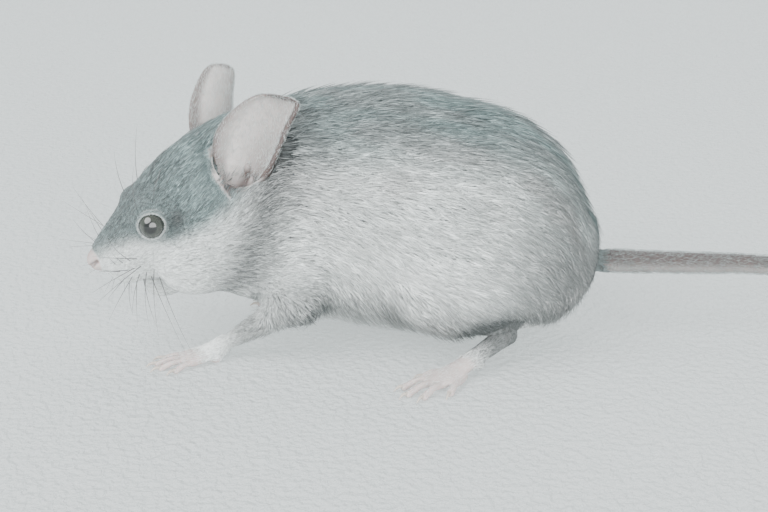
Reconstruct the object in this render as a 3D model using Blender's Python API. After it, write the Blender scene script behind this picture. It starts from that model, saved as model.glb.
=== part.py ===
"""A life-size house mouse, crouching with its head turned a little to its left.

The mouse faces -Y, its left side is +X and the floor is Z = 0. Sizes below are in millimetres.
The flesh is modelled whole, out to the tips of the coat, and then parted with thin cuts into the
pieces that a person would name. Claws are one piece with their toes.
"""

import math

import bmesh
import bpy
import numpy as np
from mathutils import Matrix, Vector

MM = 0.001

# ---------------------------------------------------------------- driving dimensions
MIDDLE = Vector((1.7, 33.6, 0.0))  # middle of the mouse's outline from above, which becomes the origin
CUT = 0.2  # gap between neighbouring pieces
HEAD_PITCH = math.radians(25)  # nose held down
HEAD_YAW = math.radians(20)  # turned to the mouse's left
NOSE_TIP = Vector((7.2, -33.4, 12.75))
TAIL_ROOT_RADIUS = 1.55
TAIL_TIP_RADIUS = 0.4
EYE_RADIUS = 1.95
EYE_PLACE = (5.3, 9.8, 2.3)  # sideways, back and up in the head's own frame
EAR_ROOT = (7.8, 21.0, 1.45)
EAR_LENGTH = 13.7
EAR_SWEEP = {"left": 4.8, "right": 3.6}  # how far the tip lies behind the root, across the leaf
EAR_THICKNESS = 0.55
NAPE = Vector((1.0, -11.0, 20.0))  # on the plane that parts head from neck
NAPE_LEAN = math.radians(-10)
THIGH_LEAN = math.radians(20)
SHOULDER_CUT = -3.0  # y where neck and trunk part
MOUTH = (0.0, 4.4, -5.9)  # front of the slit above the lower jaw, in the head's own frame
MOUTH_SLOPE = math.radians(-12)
JAW_HALF_WIDTH = 3.2
JAW_LENGTH = 8.0
EARS = {  # side, direction of its length, direction that it faces
    "left": (1, (-0.14, 0.16, 0.91), (0.82, -0.48, -0.04)),
    "right": (-1, (-0.32, 0.03, 0.91), (-0.41, -0.76, 0.02)),
}

# Trunk cross-sections from front to back: name, y, sideways shift, mid height, half width, half height.
TRUNK = (
    ("inside the head", -21.5, 3.6, 18.2, 3.0, 3.0),
    ("nape and gullet", -18.5, 3.0, 18.4, 8.0, 8.6),
    ("throat", -14.0, 2.0, 18.6, 9.6, 11.6),
    ("neck root", -10.0, 1.2, 19.0, 10.8, 13.8),
    ("shoulders", -5.0, 0.5, 19.1, 11.9, 15.3),
    ("chest", 0.5, 0.1, 18.8, 13.1, 16.2),
    ("middle of the back", 6.0, 0.0, 18.5, 14.2, 16.7),
    ("loin", 12.0, 0.0, 17.9, 15.4, 16.5),
    ("belly", 17.5, 0.0, 17.2, 15.4, 15.9),
    ("haunch", 23.0, 0.0, 16.4, 14.8, 15.1),
    ("rump", 28.0, 0.0, 15.3, 12.8, 13.1),
    ("buttock", 31.5, 0.0, 14.2, 9.6, 10.2),
    ("above the tail", 34.0, 0.0, 12.8, 5.6, 6.4),
    ("tail root", 35.4, 0.0, 11.6, 1.5, 2.0),
)

# Head cross-sections from the nose back: name, distance, half width, height above and depth below the axis.
HEAD = (
    ("nose tip", 0.0, 0.9, 0.8, 0.8),
    ("nostrils", 0.9, 1.8, 1.5, 1.9),
    ("front lip", 2.6, 2.7, 2.4, 3.4),
    ("whisker pads", 5.0, 3.7, 3.6, 5.0),
    ("mouth corner", 8.0, 4.7, 5.0, 6.8),
    ("eyes", 11.0, 5.8, 6.6, 8.8),
    ("brow", 14.5, 7.3, 7.8, 10.2),
    ("cheeks", 18.5, 8.6, 8.5, 10.9),
    ("ears", 22.5, 9.2, 8.7, 11.2),
    ("back of the skull", 27.0, 9.2, 8.6, 10.8),
    ("inside the neck", 30.0, 6.0, 6.0, 6.0),
)

EAR_OUTLINE = (  # share of the length, half width, half of the angle that the leaf curls round
    (0.00, 2.1, 100),
    (0.15, 3.2, 80),
    (0.35, 4.6, 62),
    (0.55, 4.9, 51),
    (0.72, 4.5, 45),
    (0.86, 4.0, 39),
    (0.95, 3.3, 33),
    (1.00, 1.7, 28),
)

# Limb joints on each side, for a mouse seen from above: x is the distance from the midline.
LIMBS = {
    "left": {
        "side": 1,
        "shoulder": (8.4, -3.0, 15.5),
        "elbow": (10.4, -5.4, 8.2),
        "wrist": (9.2, -15.8, 1.9),
        "hand_turn": 24,
        "hip": (8.2, 21.0, 17.0),
        "knee": (11.4, 12.0, 11.0),
        "heel": (10.8, 22.0, 4.0),
        "foot_turn": 40,
    },
    "right": {
        "side": -1,
        "shoulder": (8.4, -2.0, 15.5),
        "elbow": (9.8, 4.6, 8.2),
        "wrist": (8.4, -3.2, 1.9),
        "hand_turn": 10,
        "hip": (8.2, 21.0, 17.0),
        "knee": (11.4, 12.0, 11.0),
        "heel": (10.6, 23.4, 4.0),
        "foot_turn": 24,
    },
}

# Toes: name, sideways place, distance of the knuckle, turn in degrees (outwards is positive), length.
FOREFOOT_TOES = (
    ("inner finger", -1.35, 4.3, -16, 3.1),
    ("second finger", -0.45, 4.9, -5, 3.8),
    ("third finger", 0.5, 4.9, 5, 3.8),
    ("outer finger", 1.4, 4.2, 19, 3.1),
)
HINDFOOT_TOES = (
    ("big toe", -1.6, 9.2, -26, 2.9),
    ("second toe", -1.15, 11.8, -11, 4.2),
    ("middle toe", 0.0, 12.3, 0, 4.6),
    ("fourth toe", 1.15, 11.8, 11, 4.2),
    ("little toe", 1.75, 9.6, 27, 3.4),
)
# Soles, from the heel or wrist forwards: distance, half width, mid height, half height.
FOREFOOT_SOLE = (
    (-1.3, 0.7, 2.3, 0.7),
    (-0.4, 1.35, 2.0, 1.35),
    (1.0, 1.5, 1.5, 1.3),
    (3.0, 1.9, 1.05, 1.0),
    (4.6, 2.0, 1.0, 0.85),
    (5.6, 1.3, 0.95, 0.5),
)
HINDFOOT_SOLE = (
    (-1.5, 0.6, 4.3, 0.6),
    (-0.8, 1.3, 4.15, 1.3),
    (1.0, 1.5, 3.75, 1.45),
    (5.0, 1.45, 2.45, 1.25),
    (9.0, 1.9, 1.35, 1.1),
    (11.6, 2.3, 1.05, 0.95),
    (13.2, 1.4, 0.95, 0.5),
)
CLAW_LENGTH = 1.5
FOOT_FLAT = 0.12  # how much of each pad the floor flattens

# Points down the middle of the tail: held out level behind, then sinking to lie on the floor.
TAIL = (
    (0.0, 33.0, 10.9),
    (0.0, 38.0, 10.5),
    (0.2, 48.0, 10.3),
    (0.2, 58.0, 10.0),
    (-0.6, 68.0, 8.3),
    (-2.6, 78.0, 4.9),
    (-6.0, 87.5, 1.9),
    (-10.4, 95.0, 0.6),
    (-16.4, 101.0, 0.35),
)

COLOURS = {
    "coat_back": (0.17, 0.19, 0.19, 0.85),
    "coat_belly": (0.62, 0.64, 0.62, 0.85),
    "bare_skin": (0.72, 0.53, 0.49, 0.55),
    "ear_skin": (0.56, 0.47, 0.44, 0.6),
    "tail_skin": (0.36, 0.29, 0.27, 0.6),
    "eye": (0.01, 0.01, 0.01, 0.05),
}


# ---------------------------------------------------------------- small tools
def clear_scene():
    for obj in list(bpy.data.objects):
        bpy.data.objects.remove(obj)


def material(name):
    made = bpy.data.materials.get(name)
    if made is None:
        red, green, blue, roughness = COLOURS[name]
        made = bpy.data.materials.new(name)
        made.use_nodes = True
        shader = made.node_tree.nodes["Principled BSDF"]
        shader.inputs["Base Color"].default_value = (red, green, blue, 1)
        shader.inputs["Roughness"].default_value = roughness
        shader.inputs["Metallic"].default_value = 0.0
    return made


def add_object(name, mesh, finish=None):
    obj = bpy.data.objects.new(name, mesh)
    bpy.context.scene.collection.objects.link(obj)
    obj.parent = bpy.data.objects["mouse"]
    if finish:
        mesh.materials.clear()
        mesh.materials.append(material(finish))
    return obj


def helper(name, mesh):
    """Adds a hidden cutter, which isn't a piece of the mouse."""
    obj = add_object(name, mesh)
    obj.hide_render = True
    obj.display_type = "WIRE"
    return obj


def evaluated_mesh(obj):
    """The mesh that an object's modifiers make, as new data."""
    graph = bpy.context.evaluated_depsgraph_get()
    return bpy.data.meshes.new_from_object(obj.evaluated_get(graph))


def smooth_rows(rows, count):
    """Catmull-Rom curve through rows of numbers, at count evenly stepped parameters."""
    rows = np.array(rows, float)
    ends = np.vstack([2 * rows[0] - rows[1], rows, 2 * rows[-1] - rows[-2]])
    made = []
    for t in np.linspace(0, len(rows) - 1, count):
        i = min(int(t), len(rows) - 2)
        u = t - i
        a, b, c, d = ends[i : i + 4]
        bend = (2 * a - 5 * b + 4 * c - d) * u * u + (3 * b - a - 3 * c + d) * u**3
        made.append(b + 0.5 * ((c - a) * u + bend))
    return np.array(made)


# ---------------------------------------------------------------- shapes, in millimetres until placed
def mesh_of_rings(name, rings):
    """Closed mesh through rings of points, with a fan over each end."""
    bm = bmesh.new()
    loops = [[bm.verts.new(Vector(p) * MM) for p in ring] for ring in rings]
    for near, far in zip(loops, loops[1:]):
        for k in range(len(near)):
            following = (k + 1) % len(near)
            bm.faces.new((near[k], near[following], far[following], far[k]))
    bm.faces.new(loops[0][::-1])
    bm.faces.new(loops[-1])
    bmesh.ops.recalc_face_normals(bm, faces=bm.faces)
    mesh = bpy.data.meshes.new(name)
    bm.to_mesh(mesh)
    bm.free()
    return mesh


def oval_ring(centre, right, up, half_width, top, bottom, pear=0.0, sides=36):
    """Ring of an egg-shaped section: pear makes it wider below than above."""
    ring = []
    for k in range(sides):
        angle = 2 * math.pi * k / sides
        across, rise = math.cos(angle), math.sin(angle)
        height = top if rise > 0 else bottom
        width = half_width * (1 - pear * rise)
        ring.append(centre + right * (across * width) + up * (rise * height))
    return ring


def trunk_shape():
    rows = smooth_rows([station[1:] for station in TRUNK], 60)
    right, up = Vector((1, 0, 0)), Vector((0, 0, 1))
    rings = []
    for y, shift, middle, half_width, half_height in rows:
        centre = Vector((shift, y, middle))
        width, height = max(half_width, 0.3), max(half_height, 0.3)
        rings.append(oval_ring(centre, right, up, width, height, height, pear=0.07))
    return mesh_of_rings("trunk_shape", rings)


def head_place():
    """Matrix of the head's own frame: nose tip at the origin, +Y back along the skull, +Z up."""
    turn = Matrix.Rotation(HEAD_YAW, 4, "Z") @ Matrix.Rotation(HEAD_PITCH, 4, "X")
    return Matrix.Translation(NOSE_TIP) @ turn


def in_head(x, back, up):
    """World place of a point given in the head's own frame."""
    return head_place() @ Vector((x, back, up))


def head_shape():
    rows = smooth_rows([station[1:] for station in HEAD], 50)
    turn = head_place().to_3x3()
    right, up = turn @ Vector((1, 0, 0)), turn @ Vector((0, 0, 1))
    rings = []
    for back, half_width, top, bottom in rows:
        centre = in_head(0, back, 0)
        rings.append(oval_ring(centre, right, up, half_width, top, bottom, pear=0.1))
    return mesh_of_rings("head_shape", rings)


def ball(centre, radii, turn=None, detail=3):
    """Ellipsoid of three radii, turned by an optional rotation matrix."""
    bm = bmesh.new()
    bmesh.ops.create_icosphere(bm, subdivisions=detail, radius=1.0)
    size = Matrix.Diagonal(Vector(radii) * MM).to_4x4()
    spin = turn.to_4x4() if turn else Matrix.Identity(4)
    bm.transform(Matrix.Translation(Vector(centre) * MM) @ spin @ size)
    mesh = bpy.data.meshes.new("ball")
    bm.to_mesh(mesh)
    bm.free()
    return mesh


def tube(points, radii, sides=16, steps=24):
    """Round-ended tapering tube through points."""
    count = max(steps, 2 * len(points))
    rows = smooth_rows([(*p, r) for p, r in zip(points, radii)], count)
    path = [Vector(row[:3]) for row in rows]
    first = (path[1] - path[0]).normalized()
    last = (path[-1] - path[-2]).normalized()
    rings = []
    # Each round end is a quarter circle of rings that shrink towards its pole.
    for angle in np.radians((75, 50, 25)):
        centre = path[0] - first * rows[0, 3] * math.sin(angle)
        rings.append((centre, first, rows[0, 3] * math.cos(angle)))
    for i, centre in enumerate(path):
        along = (path[min(i + 1, count - 1)] - path[max(i - 1, 0)]).normalized()
        rings.append((centre, along, rows[i, 3]))
    for angle in np.radians((25, 50, 75)):
        centre = path[-1] + last * rows[-1, 3] * math.sin(angle)
        rings.append((centre, last, rows[-1, 3] * math.cos(angle)))
    loops = []
    for centre, along, radius in rings:
        right = along.cross(Vector((0, 0, 1)))
        right = right.normalized() if right.length > 0.05 else Vector((1, 0, 0))
        up = right.cross(along).normalized()
        loops.append(oval_ring(centre, right, up, radius, radius, radius, sides=sides))
    return mesh_of_rings("tube", loops)


def fuse(name, shapes, voxel, smoothing, triangles):
    """One closed skin round overlapping shapes, with rounded joins and about that many triangles."""
    bm = bmesh.new()
    for shape in shapes:
        bm.from_mesh(shape)
    joined = bpy.data.meshes.new(name)
    bm.to_mesh(joined)
    bm.free()
    obj = add_object(name, joined)
    remesh = obj.modifiers.new("one_skin", "REMESH")
    remesh.mode = "VOXEL"
    remesh.voxel_size = voxel * MM
    soften = obj.modifiers.new("round_joins", "SMOOTH")
    soften.factor = 0.5
    soften.iterations = smoothing
    fine = evaluated_mesh(obj)
    obj.modifiers.clear()
    obj.data = fine
    fine.calc_loop_triangles()
    thin = obj.modifiers.new("fewer_faces", "DECIMATE")
    thin.ratio = min(1.0, triangles / len(fine.loop_triangles))
    thin.use_collapse_triangulate = True
    made = evaluated_mesh(obj)
    made.name = name
    bpy.data.objects.remove(obj)
    return made


def grown(mesh, distance):
    """Copy of a closed mesh, moved outwards along its normals."""
    made = mesh.copy()
    bm = bmesh.new()
    bm.from_mesh(made)
    bm.normal_update()
    moves = [vert.normal * (distance * MM) for vert in bm.verts]
    for vert, move in zip(bm.verts, moves):
        vert.co += move
    bm.to_mesh(made)
    bm.free()
    return made


def slab(name, place, lowest, highest):
    """Hidden box between two corners given in the frame of a matrix."""
    bm = bmesh.new()
    bmesh.ops.create_cube(bm, size=1.0)
    low, high = Vector(lowest), Vector(highest)
    size = Matrix.Diagonal(high - low).to_4x4()
    bm.transform(Matrix.Scale(MM, 4) @ place @ Matrix.Translation((low + high) / 2) @ size)
    mesh = bpy.data.meshes.new(name)
    bm.to_mesh(mesh)
    bm.free()
    return helper(name, mesh)


def cut(obj, other, operation="DIFFERENCE"):
    """Boolean of obj with a hidden helper. Everything is closed, so the exact solver works."""
    step = obj.modifiers.new(f"{operation.lower()}_{other.name}"[:60], "BOOLEAN")
    step.operation = operation
    step.solver = "EXACT"
    step.object = other


# ---------------------------------------------------------------- feet
def toe_shapes(knuckle, turn, length, radius):
    """A toe that arches from its knuckle to a pad on the floor, and its hooked claw."""
    ahead = Vector((math.sin(turn), -math.cos(turn), 0))
    lift = Vector((0, 0, 1))
    base = Vector(knuckle)
    pad = base + ahead * length
    pad.z = radius * 0.95
    middle = (base + pad) / 2 + lift * radius * 0.7
    claw_root = pad + lift * 0.12
    claw_bend = pad + ahead * CLAW_LENGTH * 0.62 + lift * 0.14
    claw_tip = pad + ahead * CLAW_LENGTH
    claw_tip.z = 0.27
    toe = tube([base, middle, pad], [radius * 1.1, radius * 0.95, radius * 1.08], 10, 9)
    claw = tube([claw_root, claw_bend, claw_tip], [0.4, 0.32, 0.26], 8, 6)
    return [toe, claw]


def foot_mesh(name, sole, toes, toe_radius, place, side, triangles):
    """A foot in its own frame (heel or wrist at the origin, toes towards -Y), fused and set on the floor."""
    shapes = []
    right, up = Vector((1, 0, 0)), Vector((0, 0, 1))
    rings = []
    for distance, half_width, middle, half_height in smooth_rows(sole, 24):
        centre = Vector((0, -distance, middle))
        rings.append(
            oval_ring(centre, right, up, half_width, half_height, half_height, sides=24)
        )
    shapes.append(mesh_of_rings("sole", rings))
    for _, across, distance, turn, length in toes:
        knuckle = (across, -distance, toe_radius * 1.55)
        shapes += toe_shapes(knuckle, math.radians(turn), length, toe_radius)
    if name.startswith("forefoot"):
        shapes.append(tube([(-1.2, -2.4, 0.9), (-2.0, -3.1, 0.5)], [0.5, 0.42], 8, 6))
    mesh = fuse(name, shapes, voxel=0.16, smoothing=3, triangles=triangles)
    mirror = Matrix.Translation((0, 0, -FOOT_FLAT)) @ Matrix.Diagonal((side, 1, 1, 1))
    mesh.transform(Matrix.Scale(MM, 4) @ place @ mirror @ Matrix.Scale(1 / MM, 4))
    if side < 0:
        mesh.flip_normals()
    return mesh


def feet():
    """The four feet as meshes that stand on the floor, by node name."""
    made = {}
    for word, limb in LIMBS.items():
        side = limb["side"]
        for name, sole, toes, joint, turn, radius, triangles in (
            ("forefoot_", FOREFOOT_SOLE, FOREFOOT_TOES, "wrist", "hand_turn", 0.46, 300),
            ("hindfoot_", HINDFOOT_SOLE, HINDFOOT_TOES, "heel", "foot_turn", 0.52, 380),
        ):
            x, y, _ = limb[joint]
            spin = Matrix.Rotation(side * math.radians(limb[turn]), 4, "Z")
            place = Matrix.Translation((side * x, y, 0)) @ spin
            made[name + word] = foot_mesh(
                name + word, sole, toes, radius, place, side, triangles
            )
    return made


# ---------------------------------------------------------------- ears
def ear_mesh(name, word, grow=0.0, across_steps=8, up_steps=10):
    """Cupped pinna: a rounded leaf that curls round its length, into a narrow funnel at its root."""
    across, rise, facing = ear_axes(word)
    root = in_head(EARS[word][0] * EAR_ROOT[0], EAR_ROOT[1], EAR_ROOT[2])
    half_thick = EAR_THICKNESS / 2 + grow
    bm = bmesh.new()
    shells = ([], [])
    for i, (share, half, curl) in enumerate(smooth_rows(EAR_OUTLINE, up_steps)):
        curl = math.radians(curl)
        open_curl = min(curl, math.pi / 2)
        radius = half / math.sin(open_curl)
        span = curl + grow / radius
        end = -grow if i == 0 else grow if i == up_steps - 1 else 0
        for shell, thick in zip(shells, (-half_thick, half_thick)):
            row = []
            for j in range(across_steps + 1):
                bend = span * (2 * j / across_steps - 1)
                reach = radius + thick
                depth = reach * math.cos(bend) - radius * math.cos(open_curl)
                place = root + rise * (share * EAR_LENGTH + end)
                place += across * (EARS[word][0] * EAR_SWEEP[word] * share**3)
                place += across * (reach * math.sin(bend)) - facing * depth
                row.append(bm.verts.new(place * MM))
            shell.append(row)
    for shell in shells:
        for near, far in zip(shell, shell[1:]):
            for j in range(across_steps):
                bm.faces.new((near[j], near[j + 1], far[j + 1], far[j]))
    bmesh.ops.bridge_loops(bm, edges=[edge for edge in bm.edges if edge.is_boundary])
    bmesh.ops.recalc_face_normals(bm, faces=bm.faces)
    mesh = bpy.data.meshes.new(name)
    bm.to_mesh(mesh)
    bm.free()
    return mesh


def ear_axes(word):
    """Directions of an ear's width, length and facing, at right angles to each other."""
    _, rise, facing = EARS[word]
    rise = Vector(rise).normalized()
    facing = Vector(facing)
    facing = (facing - rise * facing.dot(rise)).normalized()
    return rise.cross(facing), rise, facing


def concha_mesh(word):
    """Hollow at the foot of the ear, which opens the bottom of its cup."""
    across, rise, facing = ear_axes(word)
    root = in_head(EARS[word][0] * EAR_ROOT[0], EAR_ROOT[1], EAR_ROOT[2])
    turn = Matrix((across, rise, facing)).transposed()
    return ball(root + rise * 4.4 - facing * 0.2, (3.6, 4.8, 2.4), turn, detail=2)


# ---------------------------------------------------------------- tail
def tail_piece(start, end, grow=0.0, slice_off=CUT):
    """Tube along a share of the tail, cut square across, less a thin slice at its front end."""
    rows = smooth_rows(TAIL, 73)
    lengths = np.concatenate([[0], np.cumsum(np.linalg.norm(np.diff(rows, axis=0), axis=1))])
    total = lengths[-1]
    rings = []
    for at in np.linspace(start * total + slice_off, end * total, 9):
        behind, centre, ahead = (
            Vector([np.interp(place, lengths, rows[:, k]) for k in range(3)])
            for place in (at - 0.5, at, at + 0.5)
        )
        along = (ahead - behind).normalized()
        right = along.cross(Vector((0, 0, 1))).normalized()
        taper = (1 - at / total) ** 0.85
        radius = TAIL_TIP_RADIUS + (TAIL_ROOT_RADIUS - TAIL_TIP_RADIUS) * taper + grow
        rings.append(
            oval_ring(centre, right, right.cross(along), radius, radius, radius, sides=10)
        )
    return mesh_of_rings("tail", rings)


# ---------------------------------------------------------------- the whole mouse
def limb_shapes(limb, sleeve=0.0):
    """Furred foreleg and hindleg of one side. With a sleeve they are wide enough to hold that flesh."""
    side = limb["side"]
    spot = {
        joint: Vector((limb[joint][0] * side, limb[joint][1], limb[joint][2]))
        for joint in ("shoulder", "elbow", "wrist", "hip", "knee", "heel")
    }
    out = Vector((side * sleeve * 1.5, 0, 0))
    arm = tube([spot["shoulder"] + out, spot["elbow"]], [5.0 + sleeve, 3.0 + 1.6 * sleeve])
    forearm = tube([spot["elbow"], spot["wrist"]], [2.3 + 1.7 * sleeve, 1.2 + 1.2 * sleeve])
    shank = tube([spot["knee"] + out, spot["heel"]], [5.0 + sleeve, 1.3 + 1.1 * sleeve])
    thigh_middle = (spot["hip"] + spot["knee"]) / 2 + 1.6 * out
    thigh_radii = (6.6, 11.0 + 0.6 * sleeve, 9.6 + 0.8 * sleeve)
    thigh = ball(thigh_middle, thigh_radii, Matrix.Rotation(THIGH_LEAN, 3, "X"))
    return [arm, forearm], [thigh, shank]


def face_shapes():
    """Rounded forms of the face that the head's plain sections lack."""
    shapes = []
    turn = head_place().to_3x3()
    for side in (-1, 1):
        shapes.append(ball(in_head(side * 2.2, 5.2, -2.2), (2.5, 3.4, 2.9), turn))  # whisker pad
        shapes.append(ball(in_head(side * 5.0, 14.6, -5.2), (4.2, 7.4, 5.4), turn))  # cheek
        shapes.append(ball(in_head(side * 3.4, 10.4, 2.2), (3.0, 3.6, 3.2), turn))  # round the eye
    shapes.append(ball(in_head(0, 9.4, -7.5), (2.7, 4.8, 2.7), turn))  # chin
    return shapes


def flesh_and_regions():
    """The furred body in one piece, and for each leg the region of it that is that leg."""
    shapes = [trunk_shape(), head_shape(), *face_shapes()]
    regions = {}
    for word, limb in LIMBS.items():
        for name, flesh, sleeve in zip(
            ("foreleg_", "hindleg_"), limb_shapes(limb), limb_shapes(limb, sleeve=1.0)
        ):
            shapes += flesh
            regions[name + word] = fuse("region", sleeve, voxel=0.7, smoothing=4, triangles=150)
    return fuse("flesh", shapes, voxel=0.55, smoothing=8, triangles=2400), regions


def part_legs(flesh, regions, below_floor):
    """Adds the legs and feet. Returns the cutters that clear the room they take, by leg."""
    gaps = {}
    feet_by_name = feet()
    for name, region in regions.items():
        foot = name.replace("leg", "foot")
        foot_room = helper("room_" + foot, grown(feet_by_name[foot], CUT))
        leg = add_object(name, flesh.copy(), "coat_back")
        cut(leg, helper("region_" + name, region), "INTERSECT")
        cut(leg, foot_room)
        cut(add_object(foot, feet_by_name[foot], "bare_skin"), below_floor)
        gaps[name] = (helper("grown_" + name, grown(region, CUT)), foot_room)
    for word in LIMBS:
        # An elbow that is drawn back lies over the thigh.
        cut(bpy.data.objects["hindleg_" + word], gaps["foreleg_" + word][0])
    return gaps


def part_body(flesh, gaps):
    """Adds head, neck and trunk: the flesh that isn't leg, parted by two planes. Returns the three."""
    nape = Matrix.Translation(NAPE) @ Matrix.Rotation(HEAD_YAW, 4, "Z")
    nape = nape @ Matrix.Rotation(NAPE_LEAN, 4, "X")
    world = Matrix.Identity(4)
    far = 60
    head_space = slab("head_space", nape, (-far, -far, -far), (far, 0, far))
    not_head = slab("not_head", nape, (-far, -far, -far), (far, CUT, far))
    trunk_space = slab("trunk_space", world, (-far, SHOULDER_CUT, -far), (far, far, far))
    not_trunk = slab("not_trunk", world, (-far, SHOULDER_CUT - CUT, -far), (far, far, far))
    head, neck, trunk = (
        add_object(name, flesh.copy(), "coat_back") for name in ("head", "neck", "trunk")
    )
    cut(head, head_space, "INTERSECT")
    cut(neck, not_head)
    cut(neck, not_trunk)
    cut(trunk, trunk_space, "INTERSECT")
    for name, cutters in gaps.items():
        reached = (head, neck, trunk) if name.startswith("foreleg") else (trunk,)
        for piece in reached:
            for cutter in cutters:
                cut(piece, cutter)
    return head, neck, trunk


def add_jaw(flesh, head):
    """Adds the lower jaw, below a slit that runs back and slightly down from the mouth."""
    mouth = head_place() @ Matrix.Translation(MOUTH) @ Matrix.Rotation(MOUTH_SLOPE, 4, "X")
    half, depth = JAW_HALF_WIDTH, 6
    jaw_space = slab("jaw_space", mouth, (-half, -2, -depth), (half, JAW_LENGTH, -CUT))
    not_jaw = slab(
        "not_jaw",
        mouth,
        (-half - CUT, -2, -depth - CUT),
        (half + CUT, JAW_LENGTH + CUT, 0),
    )
    cut(add_object("lower_jaw", flesh.copy(), "coat_belly"), jaw_space, "INTERSECT")
    cut(head, not_jaw)


def add_socketed(name, centre, radii, finish, head, detail):
    """Adds an ellipsoid that sits in a socket of the head."""
    turn = head_place().to_3x3()
    room = Vector(radii) + Vector((CUT, CUT, CUT))
    add_object(name, ball(centre, radii, turn, detail), finish)
    cut(head, helper("socket_" + name, ball(centre, room, turn, detail)))


def add_face(head, neck):
    """Adds nose pad, eyes and ears."""
    add_socketed("nose", in_head(0, 1.2, -0.15), (1.5, 1.4, 1.35), "bare_skin", head, 2)
    for word, (side, _, _) in EARS.items():
        eye_place = in_head(side * EYE_PLACE[0], EYE_PLACE[1], EYE_PLACE[2])
        add_socketed("eye_" + word, eye_place, (EYE_RADIUS,) * 3, "eye", head, 2)
        add_object("ear_" + word, ear_mesh("ear_" + word, word), "ear_skin")
        ear_socket = helper("socket_ear_" + word, ear_mesh("socket", word, grow=CUT))
        cut(head, ear_socket)
        cut(neck, ear_socket)
        cut(head, helper("concha_" + word, concha_mesh(word)))


def add_tail(trunk, below_floor):
    """Adds the tail in three lengths, whose first one starts inside the rump."""
    cut(trunk, helper("tail_socket", tail_piece(0, 0.12, grow=CUT, slice_off=0)))
    for place, word in enumerate(("root", "middle", "tip")):
        piece = add_object("tail_" + word, tail_piece(place / 3, (place + 1) / 3), "tail_skin")
        cut(piece, below_floor)


def build():
    clear_scene()
    mouse = bpy.data.objects.new("mouse", None)
    mouse.location = -MIDDLE * MM
    bpy.context.scene.collection.objects.link(mouse)
    below_floor = slab("below_floor", Matrix.Identity(4), (-60, -60, -9), (60, 140, 0))
    flesh, regions = flesh_and_regions()
    gaps = part_legs(flesh, regions, below_floor)
    head, neck, trunk = part_body(flesh, gaps)
    add_jaw(flesh, head)
    add_face(head, neck)
    add_tail(trunk, below_floor)


build()
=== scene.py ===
# %% [markdown]
# # A life-size house mouse
# This lesson dresses the solid model of a mouse in skin, fur, eyes, claws and whiskers. The solids
# come in a fixed frame: the mouse faces -Y, its left side is +X and the floor is Z = 0. They give
# the outline out to the tips of the coat, so the skin has to lie inside them by the coat's depth.

# %% Load the frame
import math

import bmesh
import bpy
import numpy as np
from mathutils import Matrix, Vector
from mathutils.bvhtree import BVHTree


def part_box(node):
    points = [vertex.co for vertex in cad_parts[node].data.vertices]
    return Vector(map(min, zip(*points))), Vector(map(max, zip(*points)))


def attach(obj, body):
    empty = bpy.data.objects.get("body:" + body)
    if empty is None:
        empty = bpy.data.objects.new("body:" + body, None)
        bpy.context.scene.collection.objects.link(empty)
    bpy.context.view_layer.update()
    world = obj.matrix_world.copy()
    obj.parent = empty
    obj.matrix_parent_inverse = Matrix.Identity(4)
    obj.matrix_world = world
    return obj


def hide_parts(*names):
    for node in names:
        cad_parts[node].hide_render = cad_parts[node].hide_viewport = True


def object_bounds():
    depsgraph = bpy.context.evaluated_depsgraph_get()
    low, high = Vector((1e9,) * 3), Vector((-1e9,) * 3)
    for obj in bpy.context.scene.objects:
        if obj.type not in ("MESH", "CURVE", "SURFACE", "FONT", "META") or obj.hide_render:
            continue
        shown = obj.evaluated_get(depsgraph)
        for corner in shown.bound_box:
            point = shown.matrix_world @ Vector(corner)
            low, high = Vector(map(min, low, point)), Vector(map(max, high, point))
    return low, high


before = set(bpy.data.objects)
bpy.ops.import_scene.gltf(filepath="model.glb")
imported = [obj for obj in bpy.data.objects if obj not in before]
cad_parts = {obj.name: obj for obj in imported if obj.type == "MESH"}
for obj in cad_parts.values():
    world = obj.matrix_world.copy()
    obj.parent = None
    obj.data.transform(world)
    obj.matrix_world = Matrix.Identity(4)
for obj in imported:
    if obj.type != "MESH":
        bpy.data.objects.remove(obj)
MM = 0.001
SIDES = {"left": 1, "right": -1}
CAD_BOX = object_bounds()
LOW, HIGH = (np.array(corner) / MM for corner in CAD_BOX)
print("solid model, mm:", (HIGH - LOW).round(1))

# %% [markdown]
# ## Camera, floor and light
# A small animal is best seen from a little above its own height, square to its side. The camera's
# aim is given as shares of the whole outline, so that it stays with the mouse. A long lens from
# 22 cm keeps the perspective calm. The floor is a wide shallow bowl that rises far from the mouse, so
# that no horizon shows from any side, and three large soft panels light it, as in a studio tent.

# %% Objects from a few plain steps
def finished_mesh(bm, name):
    """Mesh of what has been built in a bmesh, which is then freed."""
    mesh = bpy.data.meshes.new(name)
    bm.to_mesh(mesh)
    bm.free()
    return mesh


def add_object(name, data):
    """Object in the scene that shows a mesh, camera or lamp."""
    made = bpy.data.objects.new(name, data)
    bpy.context.scene.collection.objects.link(made)
    return made


# %% Camera
AIM_SHARES = (0.4567, 0.2941, 0.3099)  # across, along and up the outline
CAMERA_DISTANCE = 0.22
CAMERA_RISE = math.radians(20)
LENS = 75

aim = Vector((LOW + (HIGH - LOW) * AIM_SHARES) * MM)
camera_data = bpy.data.cameras.new("camera")
camera_data.lens = LENS
camera_data.sensor_width = 36
camera_data.clip_start = 0.005
camera = add_object("camera", camera_data)


def stand_off(obj, direction, distance):
    """Puts a camera or lamp at a distance from the aim and turns it there."""
    away = Vector(direction).normalized()
    obj.location = aim + away * distance
    obj.rotation_euler = away.to_track_quat("Z", "Y").to_euler()


stand_off(camera, (math.cos(CAMERA_RISE), 0, math.sin(CAMERA_RISE)), CAMERA_DISTANCE)
bpy.context.scene.camera = camera
print("camera at, mm:", [round(v / MM, 1) for v in camera.location])

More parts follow.
